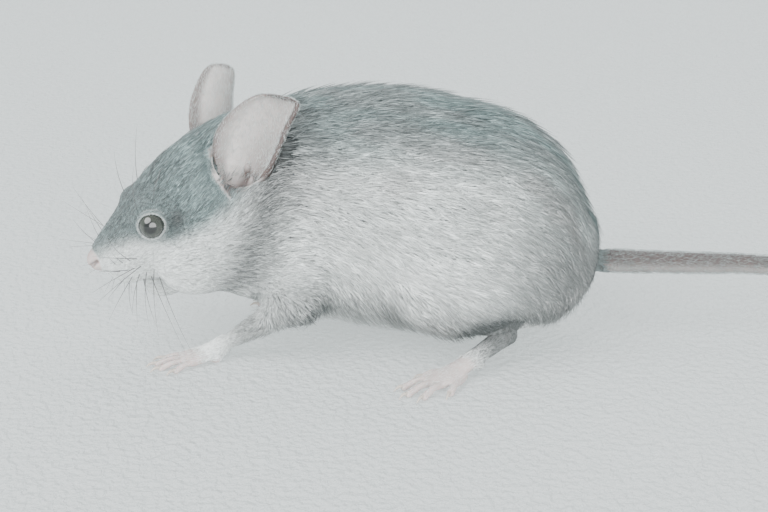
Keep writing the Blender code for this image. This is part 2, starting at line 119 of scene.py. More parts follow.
# %% Materials from a few plain values
def new_material(name, **values):
    """A Principled material. Values set the shader's own sockets, with _ for each space."""
    made = bpy.data.materials.new(name)
    made.use_nodes = True
    shader = made.node_tree.nodes["Principled BSDF"]
    for socket, value in values.items():
        shader.inputs[socket.replace("_", " ")].default_value = value
    return made, made.node_tree, shader


def link_nodes(tree, *pairs):
    """Joins output to input for each pair of sockets."""
    for output, target in pairs:
        tree.links.new(output, target)


def own_space(tree):
    """Places in the mesh's own space."""
    return tree.nodes.new("ShaderNodeTexCoord").outputs["Object"]


def noise(tree, scale, detail=3.0):
    """Value of a Noise texture in the mesh's own space."""
    node = tree.nodes.new("ShaderNodeTexNoise")
    node.inputs["Scale"].default_value = scale
    node.inputs["Detail"].default_value = detail
    tree.links.new(own_space(tree), node.inputs["Vector"])
    return node.outputs["Fac"]


def bumped(tree, height, distance, strength=1.0):
    """Normal from a Bump node. Distance is in metres."""
    node = tree.nodes.new("ShaderNodeBump")
    node.inputs["Distance"].default_value = distance
    node.inputs["Strength"].default_value = strength
    tree.links.new(height, node.inputs["Height"])
    return node.outputs[0]


# %% Floor and lights
FLOOR_COLOUR = (0.32, 0.335, 0.338, 1)
GLOW_COLOUR = (0.91, 1.0, 1.0, 1)
FLOOR_GLOW = 0.66
FLOOR_PROFILE = ((0.0, 0.0), (1.1, 0.0), (1.4, 0.03), (1.65, 0.15), (1.85, 0.45), (1.9, 1.4))  # metres
GRAIN_SCALE = 900.0  # of rough drawing paper
GRAIN_DEPTH = 0.0014
AIR_COLOUR = (0.82, 0.88, 0.9, 1)
AIR_STRENGTH = 0.95
LIGHTS = (  # name, direction from the mouse, distance, size, watts
    ("key", (0.55, -0.75, 1.0), 0.75, 0.7, 8.0),
    ("fill", (1.0, 0.2, 0.18), 0.9, 1.0, 17.5),
    ("back", (-0.8, 0.3, 0.8), 0.8, 0.7, 3.5),
)

bm = bmesh.new()
line = [bm.verts.new((radius, 0, height)) for radius, height in FLOOR_PROFILE]
line += [bm.edges.new(pair) for pair in zip(line, line[1:])]
bmesh.ops.spin(bm, geom=line, axis=(0, 0, 1), cent=(0, 0, 0), angle=2 * math.pi, steps=64,
               use_merge=True)
bmesh.ops.remove_doubles(bm, verts=bm.verts, dist=0.0001)
bmesh.ops.recalc_face_normals(bm, faces=bm.faces)
floor_mesh = finished_mesh(bm, "floor")
floor_mesh.shade_smooth()
floor = add_object("floor", floor_mesh)
# The floor glows a little, so that the shadows stay faint.
floor_finish, tree, shader = new_material("pale floor", Base_Color=FLOOR_COLOUR, Roughness=0.9,
                                          Emission_Color=GLOW_COLOUR, Emission_Strength=FLOOR_GLOW)
link_nodes(tree, (bumped(tree, noise(tree, GRAIN_SCALE), GRAIN_DEPTH), shader.inputs["Normal"]))
floor_mesh.materials.append(floor_finish)

for name, direction, distance, size, watts in LIGHTS:
    panel = bpy.data.lights.new(name, "AREA")
    panel.shape = "DISK"
    panel.size = size
    panel.energy = watts
    stand_off(add_object(name, panel), direction, distance)
world = bpy.data.worlds.new("studio air")
world.use_nodes = True
background = world.node_tree.nodes["Background"].inputs
background["Color"].default_value = AIR_COLOUR
background["Strength"].default_value = AIR_STRENGTH
bpy.context.scene.world = world
print("lights:", [light[0] for light in LIGHTS])

# %% [markdown]
# ## The head's own frame
# A head that is turned and tipped is hard to shape in room axes. So the lesson works out the head's
# own frame first: sideways along the line between the eyes, back along the skull, and up out of the
# forehead, with the tip of the nose at the origin. The eyes' places in the solid model fix it. All
# lengths from here on are in millimetres, and turn into metres only when a mesh is written.

# %% Head frame
HEAD_PITCH = math.radians(25)  # nose held down
EYES_BACK = 9.8
EYES_UP = 2.3


def box_mm(node):
    """Lowest and highest corner of a solid, in millimetres."""
    low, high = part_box(node)
    return np.array(low) / MM, np.array(high) / MM


EYES = {word: sum(box_mm("eye_" + word)) / 2 for word in SIDES}
EYE_RADIUS = float(np.ptp(box_mm("eye_left"), axis=0).max() / 2)
between = EYES["left"] - EYES["right"]
HEAD_YAW = math.atan2(between[1], between[0])
turn = Matrix.Rotation(HEAD_YAW, 3, "Z") @ Matrix.Rotation(HEAD_PITCH, 3, "X")
HEAD_AXES = np.array(turn).T  # rows: sideways, back, up
NOSE_TIP = (EYES["left"] + EYES["right"]) / 2 - np.array([0, EYES_BACK, EYES_UP]) @ HEAD_AXES


def to_head(points):
    """Sideways, back and up of room points, in the head's own frame."""
    return (np.asarray(points, float) - NOSE_TIP) @ HEAD_AXES.T


def from_head(points):
    """Room places of points given in the head's own frame."""
    return NOSE_TIP + np.asarray(points, float) @ HEAD_AXES


print("nose tip, mm:", NOSE_TIP.round(2), "head turned", round(math.degrees(HEAD_YAW), 1), "degrees")

# %% Small tools for points
UP = np.array([0, 0, 1.0])


def ramp(value, start, end):
    """0 before start, 1 after end, smooth between them. Start may be above end."""
    share = np.clip((np.asarray(value, float) - start) / (end - start), 0, 1)
    return share * share * (3 - 2 * share)


def hump(value, width, middle=0.0):
    """1 where the value is at the middle, falling towards 0 on both sides of it."""
    return np.exp(-(((value - middle) / width) ** 2))


def gap_to(points, place):
    """Distance of each point from one place."""
    return np.linalg.norm(points - place, axis=1)


def unit(vectors):
    """Vectors of length 1."""
    vectors = np.asarray(vectors, float)
    return vectors / np.maximum(np.linalg.norm(vectors, axis=-1, keepdims=True), 1e-9)


def smooth_rows(rows, count):
    """Catmull-Rom curve through rows of numbers, at count even steps."""
    rows = np.array(rows, float)
    ends = np.vstack([2 * rows[0] - rows[1], rows, 2 * rows[-1] - rows[-2]])
    at = np.linspace(0, len(rows) - 1, count)
    i = np.minimum(at.astype(int), len(rows) - 2)
    u = (at - i)[:, None]
    a, b, c, d = (ends[i + k] for k in range(4))
    bend = (2 * a - 5 * b + 4 * c - d) * u**2 + (3 * b - a - 3 * c + d) * u**3
    return b + 0.5 * ((c - a) * u + bend)


def near_line(points, line):
    """Distance from each point to a line through several points, and the share of it passed."""
    line = np.asarray(line, float)
    best = np.full(len(points), 1e9)
    share = np.zeros(len(points))
    steps = len(line) - 1
    for k in range(steps):
        run = line[k + 1] - line[k]
        t = np.clip((points - line[k]) @ run / (run @ run), 0, 1)
        gap = np.linalg.norm(points - line[k] - t[:, None] * run, axis=1)
        closer = gap < best
        best[closer] = gap[closer]
        share[closer] = (k + t[closer]) / steps
    return best, share


# %% Small tools for meshes
def mesh_points(mesh):
    """A mesh's points in millimetres."""
    flat = np.empty(len(mesh.vertices) * 3, np.float32)
    mesh.vertices.foreach_get("co", flat)
    return flat.reshape(-1, 3).astype(float) / MM


def mesh_normals(mesh):
    """Smooth normal at each point."""
    flat = np.empty(len(mesh.vertices) * 3, np.float32)
    mesh.vertex_normals.foreach_get("vector", flat)
    return flat.reshape(-1, 3).astype(float)


def set_points(mesh, points):
    """Moves a mesh's points to places in millimetres."""
    mesh.vertices.foreach_set("co", (np.asarray(points) * MM).astype(np.float32).ravel())
    mesh.update()


def mesh_edges(mesh):
    """Pairs of points that an edge joins."""
    flat = np.empty(len(mesh.edges) * 2, np.int32)
    mesh.edges.foreach_get("vertices", flat)
    return flat.reshape(-1, 2)


def relaxed(values, edges, rounds, strength=0.5):
    """Values at points, each drawn towards the average of its neighbours'."""
    values = np.array(values, float)
    a, b = edges.T
    count = np.maximum(np.bincount(a, minlength=len(values)) + np.bincount(b, minlength=len(values)), 1)
    columns = values.reshape(len(values), -1).T
    for _ in range(rounds):
        for column in columns:
            total = np.bincount(a, column[b], len(column)) + np.bincount(b, column[a], len(column))
            column += strength * (total / count - column)
    return columns.T.reshape(values.shape)


# %% Closed meshes
def mesh_of_rings(name, rings):
    """Closed mesh through rings of points in millimetres, with a fan over each end."""
    bm = bmesh.new()
    loops = [[bm.verts.new(p) for p in np.asarray(ring) * MM] for ring in rings]
    for near, far in zip(loops, loops[1:]):
        for k in range(len(near)):
            following = (k + 1) % len(near)
            bm.faces.new((near[k], near[following], far[following], far[k]))
    for end in (loops[0], loops[-1]):
        middle = bm.verts.new(sum((v.co for v in end), Vector()) / len(end))
        for k in range(len(end)):
            bm.faces.new((end[k], end[(k + 1) % len(end)], middle))
    bmesh.ops.recalc_face_normals(bm, faces=bm.faces)
    return finished_mesh(bm, name)


def evaluated_mesh(obj):
    """The mesh that an object's modifiers make."""
    graph = bpy.context.evaluated_depsgraph_get()
    return bpy.data.meshes.new_from_object(obj.evaluated_get(graph))


def joined(name, meshes):
    """One mesh that holds several."""
    bm = bmesh.new()
    for mesh in meshes:
        bm.from_mesh(mesh)
    return finished_mesh(bm, name)


def fused(name, meshes, voxel, smoothing):
    """One closed mesh round overlapping ones, by a voxel remesh and a little smoothing."""
    obj = add_object(name, joined(name, meshes))
    remesh = obj.modifiers.new("one skin", "REMESH")
    remesh.mode = "VOXEL"
    remesh.voxel_size = voxel * MM
    soften = obj.modifiers.new("soften", "SMOOTH")
    soften.factor = 0.5
    soften.iterations = smoothing
    made = evaluated_mesh(obj)
    bpy.data.objects.remove(obj)
    return made


# %% [markdown]
# ## Feet
# A mouse's foot is a long bare sole with thin jointed toes. Each toe arches up from its knuckle and
# comes down on a round pad, and more pads stand under the sole. Box modelling could make one foot,
# but four feet of two kinds are easier from a table: each sole is a loft through ovals, each toe a
# tapering tube, each pad a ball, and a fine voxel remesh flows them together. The foot is built
# flat in its own frame, heel at the origin and toes towards -Y, and then put where its solid is.

# %% Sizes of the feet
# Toes: sideways place, distance of the knuckle, turn in degrees (outwards is positive), length.
FORE_TOES = ((-1.35, 4.3, -16, 3.1), (-0.45, 4.9, -5, 3.8), (0.5, 4.9, 5, 3.8), (1.4, 4.2, 19, 3.1))
HIND_TOES = (
    (-1.6, 9.2, -26, 2.9),
    (-1.15, 11.8, -11, 4.2),
    (0.0, 12.3, 0, 4.6),
    (1.15, 11.8, 11, 4.2),
    (1.75, 9.6, 27, 3.4),
)
# Soles from the heel forwards: distance, half width, mid height, half height.
FORE_SOLE = (
    (-1.3, 0.7, 2.3, 0.7),
    (-0.4, 1.35, 2.0, 1.3),
    (1.0, 1.5, 1.5, 1.15),
    (3.0, 1.8, 1.1, 0.75),
    (4.6, 1.9, 1.05, 0.6),
    (5.6, 1.3, 0.95, 0.4),
)
HIND_SOLE = (
    (-1.4, 0.6, 4.2, 0.6),
    (-0.8, 1.2, 4.1, 1.2),
    (1.0, 1.35, 3.7, 1.2),
    (5.0, 1.25, 2.45, 0.9),
    (9.0, 1.7, 1.4, 0.75),
    (11.6, 2.1, 1.1, 0.6),
    (13.2, 1.4, 0.95, 0.4),
)
# Pads under the sole: sideways place, distance, radius.
FORE_PADS = ((-1.1, 1.4, 0.75), (1.05, 1.1, 0.75), (-1.15, 4.0, 0.6), (0.0, 4.7, 0.62), (1.2, 4.0, 0.6))
HIND_PADS = (
    (-1.2, 6.6, 0.62),
    (1.1, 5.4, 0.55),
    (-1.5, 9.4, 0.62),
    (-0.7, 11.5, 0.62),
    (0.75, 11.5, 0.62),
    (1.6, 9.6, 0.62),
)
FEET = {  # kind: sole, toes, pads, toe radius
    "forefoot": (FORE_SOLE, FORE_TOES, FORE_PADS, 0.46),
    "hindfoot": (HIND_SOLE, HIND_TOES, HIND_PADS, 0.52),
}
for kind, (_, toes, pads, _) in FEET.items():
    print(kind, "has", len(toes), "toes and", len(pads), "pads")

# %% Which foot is which, and how it stands
TURNS = {"forefoot_left": 24, "forefoot_right": 10, "hindfoot_left": 40, "hindfoot_right": 24}
FLATTENED = 0.12  # how much of each pad the floor flattens
CLAW_LENGTH = 1.5
CLAW_RADII = (0.27, 0.2, 0.05)
FOOT_VOXEL = 0.185


def kind_of(name):
    """Forefoot or hindfoot, from a foot's full name."""
    return name.split("_")[0]


print("degrees that the feet turn out:", TURNS)

# %% Round shapes for building flesh
def oval_ring(centre, right, up, half_width, half_height, sides):
    """Points round an oval that lies along two directions."""
    angles = np.arange(sides) * 2 * math.pi / sides
    across = np.outer(np.cos(angles) * half_width, right)
    return np.asarray(centre) + across + np.outer(np.sin(angles) * half_height, up)


def tube(points, radii, sides=12, steps=24):
    """Round-ended tapering tube along a smooth line."""
    rows = smooth_rows(np.column_stack([points, radii]), steps)
    path, radius = rows[:, :3], rows[:, 3]
    along = unit(np.gradient(path, axis=0))
    stations = [(path[0] - along[0] * radius[0] * math.sin(a), along[0], radius[0] * math.cos(a))
                for a in np.radians((78, 50, 25))]
    stations += list(zip(path, along, radius))
    stations += [(path[-1] + along[-1] * radius[-1] * math.sin(a), along[-1], radius[-1] * math.cos(a))
                 for a in np.radians((25, 50, 78))]
    rings = []
    for centre, ahead, r in stations:
        reference = UP if abs(ahead[2]) < 0.95 else np.array([1.0, 0, 0])
        right = unit(np.cross(ahead, reference))
        rings.append(oval_ring(centre, right, np.cross(right, ahead), r, r, sides))
    return mesh_of_rings("tube", rings)


def ball(centre, radii, axes=np.eye(3), detail=3):
    """Ellipsoid. The rows of axes are the directions of its three radii."""
    bm = bmesh.new()
    bmesh.ops.create_icosphere(bm, subdivisions=detail, radius=1.0)
    mesh = finished_mesh(bm, "ball")
    set_points(mesh, np.asarray(centre) + (mesh_points(mesh) * MM * radii) @ np.asarray(axes))
    return mesh


def toe_line(across, distance, turn, length, radius):
    """Knuckle, arch and pad of a toe, and the direction it points in."""
    ahead = np.array([math.sin(math.radians(turn)), -math.cos(math.radians(turn)), 0])
    knuckle = np.array([across, -distance, radius * 1.55])
    pad = knuckle + ahead * length
    pad[2] = radius * 0.95
    arch = (knuckle + pad) / 2 + UP * radius * 0.7
    return knuckle, arch, pad, ahead


# %% One foot in its own frame
def foot_meshes(kind):
    """Bare foot, and its claws, in its own frame."""
    sole, toes, pads, radius = FEET[kind]
    rings = [oval_ring((0, -distance, middle), (1, 0, 0), UP, half, height, 28)
             for distance, half, middle, height in smooth_rows(sole, 30)]
    flesh = [mesh_of_rings("sole", rings)]
    claws = []
    for toe in toes:
        knuckle, arch, pad, ahead = toe_line(*toe, radius)
        behind = knuckle - ahead * 1.6
        flesh.append(tube([behind, knuckle, arch, pad],
                          [radius * 1.05, radius * 1.05, radius * 0.86, radius * 0.92]))
        for joint, size in ((knuckle, 1.12), ((arch + pad) / 2, 1.0)):
            flesh.append(ball(joint, np.array([1, 1, 1]) * radius * size, detail=2))
        flesh.append(ball(pad - ahead * 0.1, (radius * 1.05, radius * 1.15, radius), detail=2))
        tip = pad + ahead * CLAW_LENGTH
        tip[2] = 0.24
        bend = pad + ahead * CLAW_LENGTH * 0.55 + UP * 0.22
        claws.append(tube([pad + UP * 0.16 - ahead * 0.1, bend, tip], CLAW_RADII, 8, 10))
    distances, _, middles, halves = np.array(sole).T
    for across, distance, size in pads:
        under = np.interp(distance, distances, middles - halves)
        spot = (across * 0.9, -distance, max(size * 0.95, under + size * 0.45))
        flesh.append(ball(spot, (size, size * 1.15, size), detail=2))
    if kind == "forefoot":  # the stub of a thumb
        flesh.append(tube([(-1.2, -2.4, 0.9), (-2.0, -3.1, 0.5)], [0.5, 0.38]))
    return fused(kind, flesh, FOOT_VOXEL, 3), claws


# %% Stand the feet on the floor
def placed(mesh, spin, shift, side):
    """Copy of a mesh, mirrored for the right side, turned about Z and moved."""
    made = mesh.copy()
    points = mesh_points(made) * (side, 1, 1)
    set_points(made, points @ np.array(spin).T + shift)
    if side < 0:
        made.flip_normals()
    return made


foot_parts, claw_parts, JOINTS = {}, {}, {}
for kind, (sole, *_) in FEET.items():
    flesh, claws = foot_meshes(kind)
    for word, side in SIDES.items():
        name = f"{kind}_{word}"
        spin = Matrix.Rotation(side * math.radians(TURNS[name]), 3, "Z")
        low, high = box_mm(name)
        whole = np.vstack([mesh_points(placed(m, spin, 0, side)) for m in (flesh, *claws)])
        shift = (low + high) / 2 - (whole.min(0) + whole.max(0)) / 2
        shift[2] = -FLATTENED
        foot_parts[name] = placed(flesh, spin, shift, side)
        claw_parts[name] = [placed(claw, spin, shift, side) for claw in claws]
        JOINTS[name] = shift + (0, 0, sole[1][2])
        lifted = mesh_points(foot_parts[name])
        lifted[:, 2] = np.maximum(lifted[:, 2], 0.02)  # the floor flattens the pads
        set_points(foot_parts[name], lifted)
        print(name, "faces", len(foot_parts[name].polygons), "ankle at, mm:", JOINTS[name].round(1))

# %% [markdown]
# ## One body under the fur
# The solids of head, neck, trunk and legs are parted by cuts a fifth of a millimetre wide. Grown by
# that much they overlap, and a voxel remesh then makes them one closed surface without a seam.
# Smoothing takes the facets away. The surface still runs along the tips of the coat, so it then
# sinks along its own normals by the depth of the coat, which is shallow on the muzzle and deep on
# the back. Sculpting by hand would give the same, but a depth written as a rule can be tuned.

# %% Where the ears stand
EAR_ROOTS = {word: from_head((side * 7.8, 21.0, 1.45)) for word, side in SIDES.items()}
EARS = {  # direction of an ear's length, direction that it faces
    "left": ((-0.14, 0.16, 0.91), (0.82, -0.48, -0.04)),
    "right": ((-0.32, 0.03, 0.91), (-0.41, -0.76, 0.02)),
}


def ear_axes(word):
    """Directions of an ear's width, length and facing."""
    rise, facing = (unit(direction) for direction in EARS[word])
    facing = unit(facing - rise * (facing @ rise))
    return np.cross(rise, facing), rise, facing


for word, root in EAR_ROOTS.items():
    print(word, "ear stands at, mm:", root.round(1))

# %% Stubs of flesh at the feet and ears
# Short stubs carry wrist and heel into the feet, in line with the elbow or knee above.
BENDS = {
    "forefoot_left": (8.7, -39.0, 8.2),
    "forefoot_right": (-11.5, -29.0, 8.2),
    "hindfoot_left": (9.7, -20.6, 11.0),
    "hindfoot_right": (-13.1, -20.6, 11.0),
}
STUB_RADII = {"forefoot": (1.0, 1.15, 1.3), "hindfoot": (1.15, 1.45, 2.1)}
stubs = []
for name, joint in JOINTS.items():
    up_limb = unit(BENDS[name] - joint)
    line = [joint - up_limb, joint + up_limb * 1.8, joint + up_limb * 5]
    stubs.append(tube(line, STUB_RADII[kind_of(name)]))
# A pad of flesh under the foot of each ear closes the skin round it.
for word, root in EAR_ROOTS.items():
    across, rise, facing = ear_axes(word)
    stubs.append(ball(root - rise * 1.6 - facing * 1.2, (3.6, 2.6, 3.0), (across, rise, facing)))
print("stubs:", len(stubs))

# %% Fuse the flesh
CUT = 0.2
BODY_VOXEL = 0.55
FLESH = ["head", "nose", "lower_jaw", "neck", "trunk", "eye_left", "eye_right"]
FLESH += [leg + word for leg in ("foreleg_", "hindleg_") for word in SIDES]


def grown(mesh, distance):
    """Copy of a mesh, moved outwards along its normals."""
    made = mesh.copy()
    set_points(made, mesh_points(made) + mesh_normals(made) * distance)
    return made


solids = [grown(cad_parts[name].data, CUT) for name in FLESH]
body = fused("skin", solids + stubs, BODY_VOXEL, 5)
print("fused flesh, faces:", len(body.polygons))

# %% How deep the coat is
TAIL_ROOT = np.array([-1.7, 1.4, 11.3])
BACK_DEPTH = 1.5
BELLY_DEPTH = 1.2
# Along the head from the nose tip: distance and coat depth.
HEAD_DEPTHS = np.array([(0, 0.04), (2.6, 0.1), (6, 0.2), (10, 0.32), (15, 0.6), (20, 0.85), (27, 1.2)])


def head_share(points):
    """1 on the head, 0 on the body and the legs."""
    _, back, up = to_head(points).T
    return (1 - ramp(back, 22, 30)) * ramp(up, -14.5, -12)


def coat_depth(points):
    """Height of the fur's outline over the skin."""
    body_depth = BELLY_DEPTH + (BACK_DEPTH - BELLY_DEPTH) * ramp(points[:, 2], 6, 24)
    head_depth = np.interp(to_head(points)[:, 1], *HEAD_DEPTHS.T)
    depth = body_depth + (head_depth - body_depth) * head_share(points)
    # It thins out towards the bare parts: place, share left there, and between which distances.
    thin = [(joint, 0.1, 1.5, 13 if kind_of(name) == "forefoot" else 11)
            for name, joint in JOINTS.items()]
    thin.append((TAIL_ROOT, 0.15, 2, 9))
    for word in SIDES:
        thin += [(EYES[word], 0.25, 2.0, 5), (EAR_ROOTS[word], 0.4, 2.5, 6)]
    for place, least, start, end in thin:
        depth *= least + (1 - least) * ramp(gap_to(points, place), start, end)
    return depth


# %% Sink the skin
points, edges = mesh_points(body), mesh_edges(body)
sink = relaxed(coat_depth(points) + CUT, edges, 8)
points = relaxed(points - mesh_normals(body) * sink[:, None], edges, 4)
set_points(body, points)
print("coat depth, mm:", (sink.min() - CUT).round(2), "to", (sink.max() - CUT).round(2))

# %% [markdown]
# ## The face
# The eye reads first, so the skin is finest there. Faces near the nose, mouth and eyes are split
# once or twice, and then the points are moved by rules in the head's frame: the skin dips behind
# each eyeball and rises into a rim of lid round it, the mouth is a groove along a line, the nose pad
# has comma-shaped nostrils and a cleft, and the whisker pads carry rows of small swellings.

# %% Split the faces of the muzzle
def split_where(mesh, chosen):
    """Splits each face that touches a chosen point into smaller ones."""
    bm = bmesh.new()
    bm.from_mesh(mesh)
    bm.verts.ensure_lookup_table()
    picked = {e for k in np.flatnonzero(chosen) for f in bm.verts[k].link_faces for e in f.edges}
    edges = sorted(picked, key=lambda edge: edge.index)
    bmesh.ops.subdivide_edges(bm, edges=edges, cuts=1, use_grid_fill=True)
    bmesh.ops.triangulate(bm, faces=[f for f in bm.faces if len(f.verts) > 4])
    bm.to_mesh(mesh)
    bm.free()


def eye_distance(points):
    """Distance of each point from the middle of the nearer eye."""
    return np.minimum(*(gap_to(points, EYES[word]) for word in SIDES))


for back_limit, eye_limit in ((17, 6.5), (5.5, 3.3)):
    points = mesh_points(body)
    _, back, up = to_head(points).T
    split_where(body, ((back < back_limit) & (up > -12)) | (eye_distance(points) < eye_limit))
    points, edges = mesh_points(body), mesh_edges(body)
    near_face = to_head(points)[:, 1] < back_limit + 3
    points[near_face] = relaxed(points, edges, 2)[near_face]
    set_points(body, points)
print("skin faces after splitting:", len(body.polygons))

# %% Eyelids
LID_ANGLE = math.radians(59)  # half of the angle that the open lids show of the eyeball
LID_THICKNESS = 0.17
LID_DEPTH = 0.45  # how far the skin dips into the eyeball inside the lids
FOLD_HEIGHT = 0.13
LID_FADE = math.radians(34)
EYE_SLANT = math.radians(14)  # the corner nearer the nose lies lower
EYE_FACING = {}


def shape_eyelids(points, normals, word):
    """Opens the skin over an eyeball and rounds its edge into a lid."""
    offset = points - EYES[word]
    distance = np.linalg.norm(offset, axis=1)
    near = distance < 5.5
    facing = unit(normals[distance < 2.6].mean(0))
    EYE_FACING[word] = facing
    to_nose = unit(NOSE_TIP - EYES[word])
    corner = unit(to_nose - facing * (to_nose @ facing))
    corner = unit(corner - np.cross(facing, corner) * math.tan(EYE_SLANT) * SIDES[word])
    offset, distance = offset[near], distance[near]
    lean = np.arccos(np.clip(unit(offset) @ facing, -1, 1))
    across = offset - np.outer(offset @ facing, facing)
    towards = unit(across) @ corner
    opening = LID_ANGLE + math.radians(5) * np.abs(towards) ** 6 - math.radians(2) * (1 - towards**2)
    past = lean - opening
    inside = EYE_RADIUS - LID_DEPTH
    rim = EYE_RADIUS + LID_THICKNESS
    target = inside + (rim - inside) * ramp(past, -0.05, 0.06)
    # A fold runs round just outside the rim.
    fold = FOLD_HEIGHT * hump(past, 0.1, 0.36)
    keep = ramp(past, 0.12, LID_FADE)
    target = target * (1 - keep) + np.maximum(distance, EYE_RADIUS * 0.9) * keep - fold
    blend = 1 - ramp(past, LID_FADE, LID_FADE * 1.5)
    reach = distance + (target - distance) * blend
    reach = np.where(past > 0.03, np.maximum(reach, EYE_RADIUS + 0.08), reach)
    made = points.copy()
    made[near] += unit(offset) * (reach - distance)[:, None]
    return made


points = mesh_points(body)
normals = mesh_normals(body)
for word in SIDES:
    points = shape_eyelids(points, normals, word)
    print("eye", word, "faces", to_head(NOSE_TIP + EYE_FACING[word]).round(2))

# %% Nose, mouth and whisker pads
# Lines in the head's frame for the left half; the right half mirrors them.
NOSE_MIDDLE = (0, 1.2, -0.15)
NOSE_RADII = (1.65, 1.65, 1.5)
CLEFT = ((0.0, 0.35, -0.2), (0.0, 0.4, -1.1), (0.0, 1.2, -2.0), (0.0, 2.6, -3.3))
LIP = ((0.0, 2.6, -3.3), (1.0, 3.6, -4.3), (2.0, 5.0, -5.2), (2.9, 7.0, -5.9), (3.5, 8.8, -6.2))
NOSTRIL = ((0.55, 0.15, -0.45), (0.95, 0.6, -0.15), (1.35, 1.25, 0.1))
PAD_EDGE = ((0.0, 2.2, 1.5), (1.2, 2.5, 1.1), (1.9, 2.7, 0.0), (1.5, 2.4, -1.4), (0.6, 1.9, -2.0))
WHISKER_ROWS = 4
ROOT_SWELL = 0.09


def whisker_roots():
    """Places of the whiskers on the left pad, in the head's frame, in rows that run back."""
    roots = []
    for row in range(WHISKER_ROWS):
        for k in range(4 + (row > 1)):
            roots.append((4.6, 3.1 + 0.95 * k + 0.15 * row, -0.8 - 1.05 * row - 0.16 * k))
    return np.array(roots)


def groove(head_points, line, width, depth, side):
    """How far the skin sinks along a line, at each point."""
    line = smooth_rows(np.array(line) * (side, 1, 1), 12)
    gap, _ = near_line(head_points, line)
    return depth * hump(gap, width)


def skin_relief(points):
    """Height to raise the skin of the face at each point."""
    head_points = to_head(points)
    raised = -groove(head_points, CLEFT, 0.2, 0.3, 1)
    for side in SIDES.values():
        raised -= groove(head_points, LIP, 0.26, 0.42, side)
        raised -= groove(head_points, NOSTRIL, 0.24, 0.6, side)
        raised -= groove(head_points, PAD_EDGE, 0.28, 0.22, side)
    nose = np.linalg.norm((head_points - NOSE_MIDDLE) / NOSE_RADII, axis=1)
    return raised + 0.16 * (1 - ramp(nose, 0.75, 1.1))


set_points(body, points)
relief = skin_relief(points)
set_points(body, points + mesh_normals(body) * relief[:, None])
print("skin of the face moved out by, mm:", relief.min().round(2), "to", relief.max().round(2))

# %% Whisker roots on the skin
def surface_of(mesh):
    """A search tree of a mesh's faces, in millimetres."""
    faces = [tuple(polygon.vertices) for polygon in mesh.polygons]
    return BVHTree.FromPolygons([tuple(p) for p in mesh_points(mesh)], faces)


surface = surface_of(body)
WHISKERS = {}
for word, side in SIDES.items():
    found = []
    for spot in from_head(whisker_roots() * (side, 1, 1)):
        inwards = Vector(-side * HEAD_AXES[0])
        place, normal, _, _ = surface.ray_cast(Vector(spot) - inwards * 6, inwards)
        found.append((np.array(place), np.array(normal)))
    WHISKERS[word] = found
follicles = [place for roots in WHISKERS.values() for place, _ in roots]
points = mesh_points(body)
closest = np.min([gap_to(points, spot) for spot in follicles], axis=0)
set_points(body, points + mesh_normals(body) * (ROOT_SWELL * hump(closest, 0.3))[:, None])
print("whisker roots:", len(follicles))

# %% [markdown]
# ## Ears
# The ear is a thin cup of bare skin, thicker along its rolled rim, with two small lobes at its
# foot that guard the hole. A sheet with a Solidify modifier would have one thickness, so here two
# grids of points are made from the same outline: at each height the leaf is part of a circle, whose
# half angle says how far it curls, and a rule gives the thickness at each place.

# %% The leaf of an ear
EAR_LENGTH = 13.7
EAR_OUTLINE = np.array([  # share of the length, half width, half of the angle that the leaf curls round
    (-0.22, 1.7, 100),
    (0.00, 2.1, 100),
    (0.15, 3.2, 80),
    (0.35, 4.6, 62),
    (0.55, 4.9, 51),
    (0.72, 4.5, 45),
    (0.86, 4.0, 39),
    (0.93, 3.5, 34),
    (0.975, 2.7, 30),
    (1.00, 1.2, 26),
])
EAR_SWEEP = {"left": 4.8, "right": 3.6}  # how far the tip lies behind the root, across the leaf
EAR_STEPS_ACROSS, EAR_STEPS_UP = 44, 52


def ear_sweep(word, share):
    """How far the middle of the leaf has moved to its back edge, along the ear's width."""
    return SIDES[word] * EAR_SWEEP[word] * np.maximum(share, 0) ** 3


def ear_sheet(word, side_of_leaf):
    """Grid of points on the front (-1) or back (+1) of an ear."""
    across, rise, facing = ear_axes(word)
    front_edge = -SIDES[word]
    rows = []
    for share, half, curl in smooth_rows(EAR_OUTLINE, EAR_STEPS_UP):
        curl = math.radians(curl)
        open_curl = min(curl, math.pi / 2)
        radius = half / math.sin(open_curl)
        s = np.linspace(-1, 1, EAR_STEPS_ACROSS + 1)
        bend = curl * s
        to_edge = np.minimum(radius * curl * (1 - np.abs(s)), (1 - share) * EAR_LENGTH + 0.3)
        rim = hump(to_edge, 0.3, 0.35)
        front_rim = hump(s, 0.1, front_edge * 0.86)
        thick = 0.14 + 0.09 * rim + 0.08 * (1 - share)
        relief = 0.0
        if side_of_leaf < 0:
            # The front edge folds over as a broad band, and shallow furrows run down the cup.
            relief = 0.26 * front_rim - 0.2 * hump(s, 0.1, front_edge * 0.62)
            relief += 0.05 * np.sin(s * 17 + share * 5) * (1 - share) * (1 - s * s)
            relief += 0.02 * np.sin(share * 40 + s * 4) * ramp(share, 0.35, 0.6)
        reach = radius + side_of_leaf * (thick + relief * ramp(share, 0.05, 0.3))
        depth = reach * np.cos(bend) - radius * math.cos(open_curl)
        base = EAR_ROOTS[word] + rise * share * EAR_LENGTH + across * ear_sweep(word, share)
        rows.append(base + np.outer(reach * np.sin(bend), across) - np.outer(depth, facing))
    return np.array(rows)


print("leaf of an ear, mm:", EAR_LENGTH, "long and", 2 * EAR_OUTLINE[:, 1].max(), "wide")

# %% Ear meshes
CUP_SPAN = (0.14, 0.62)  # shares of the grid's height that the hollow of the cup covers


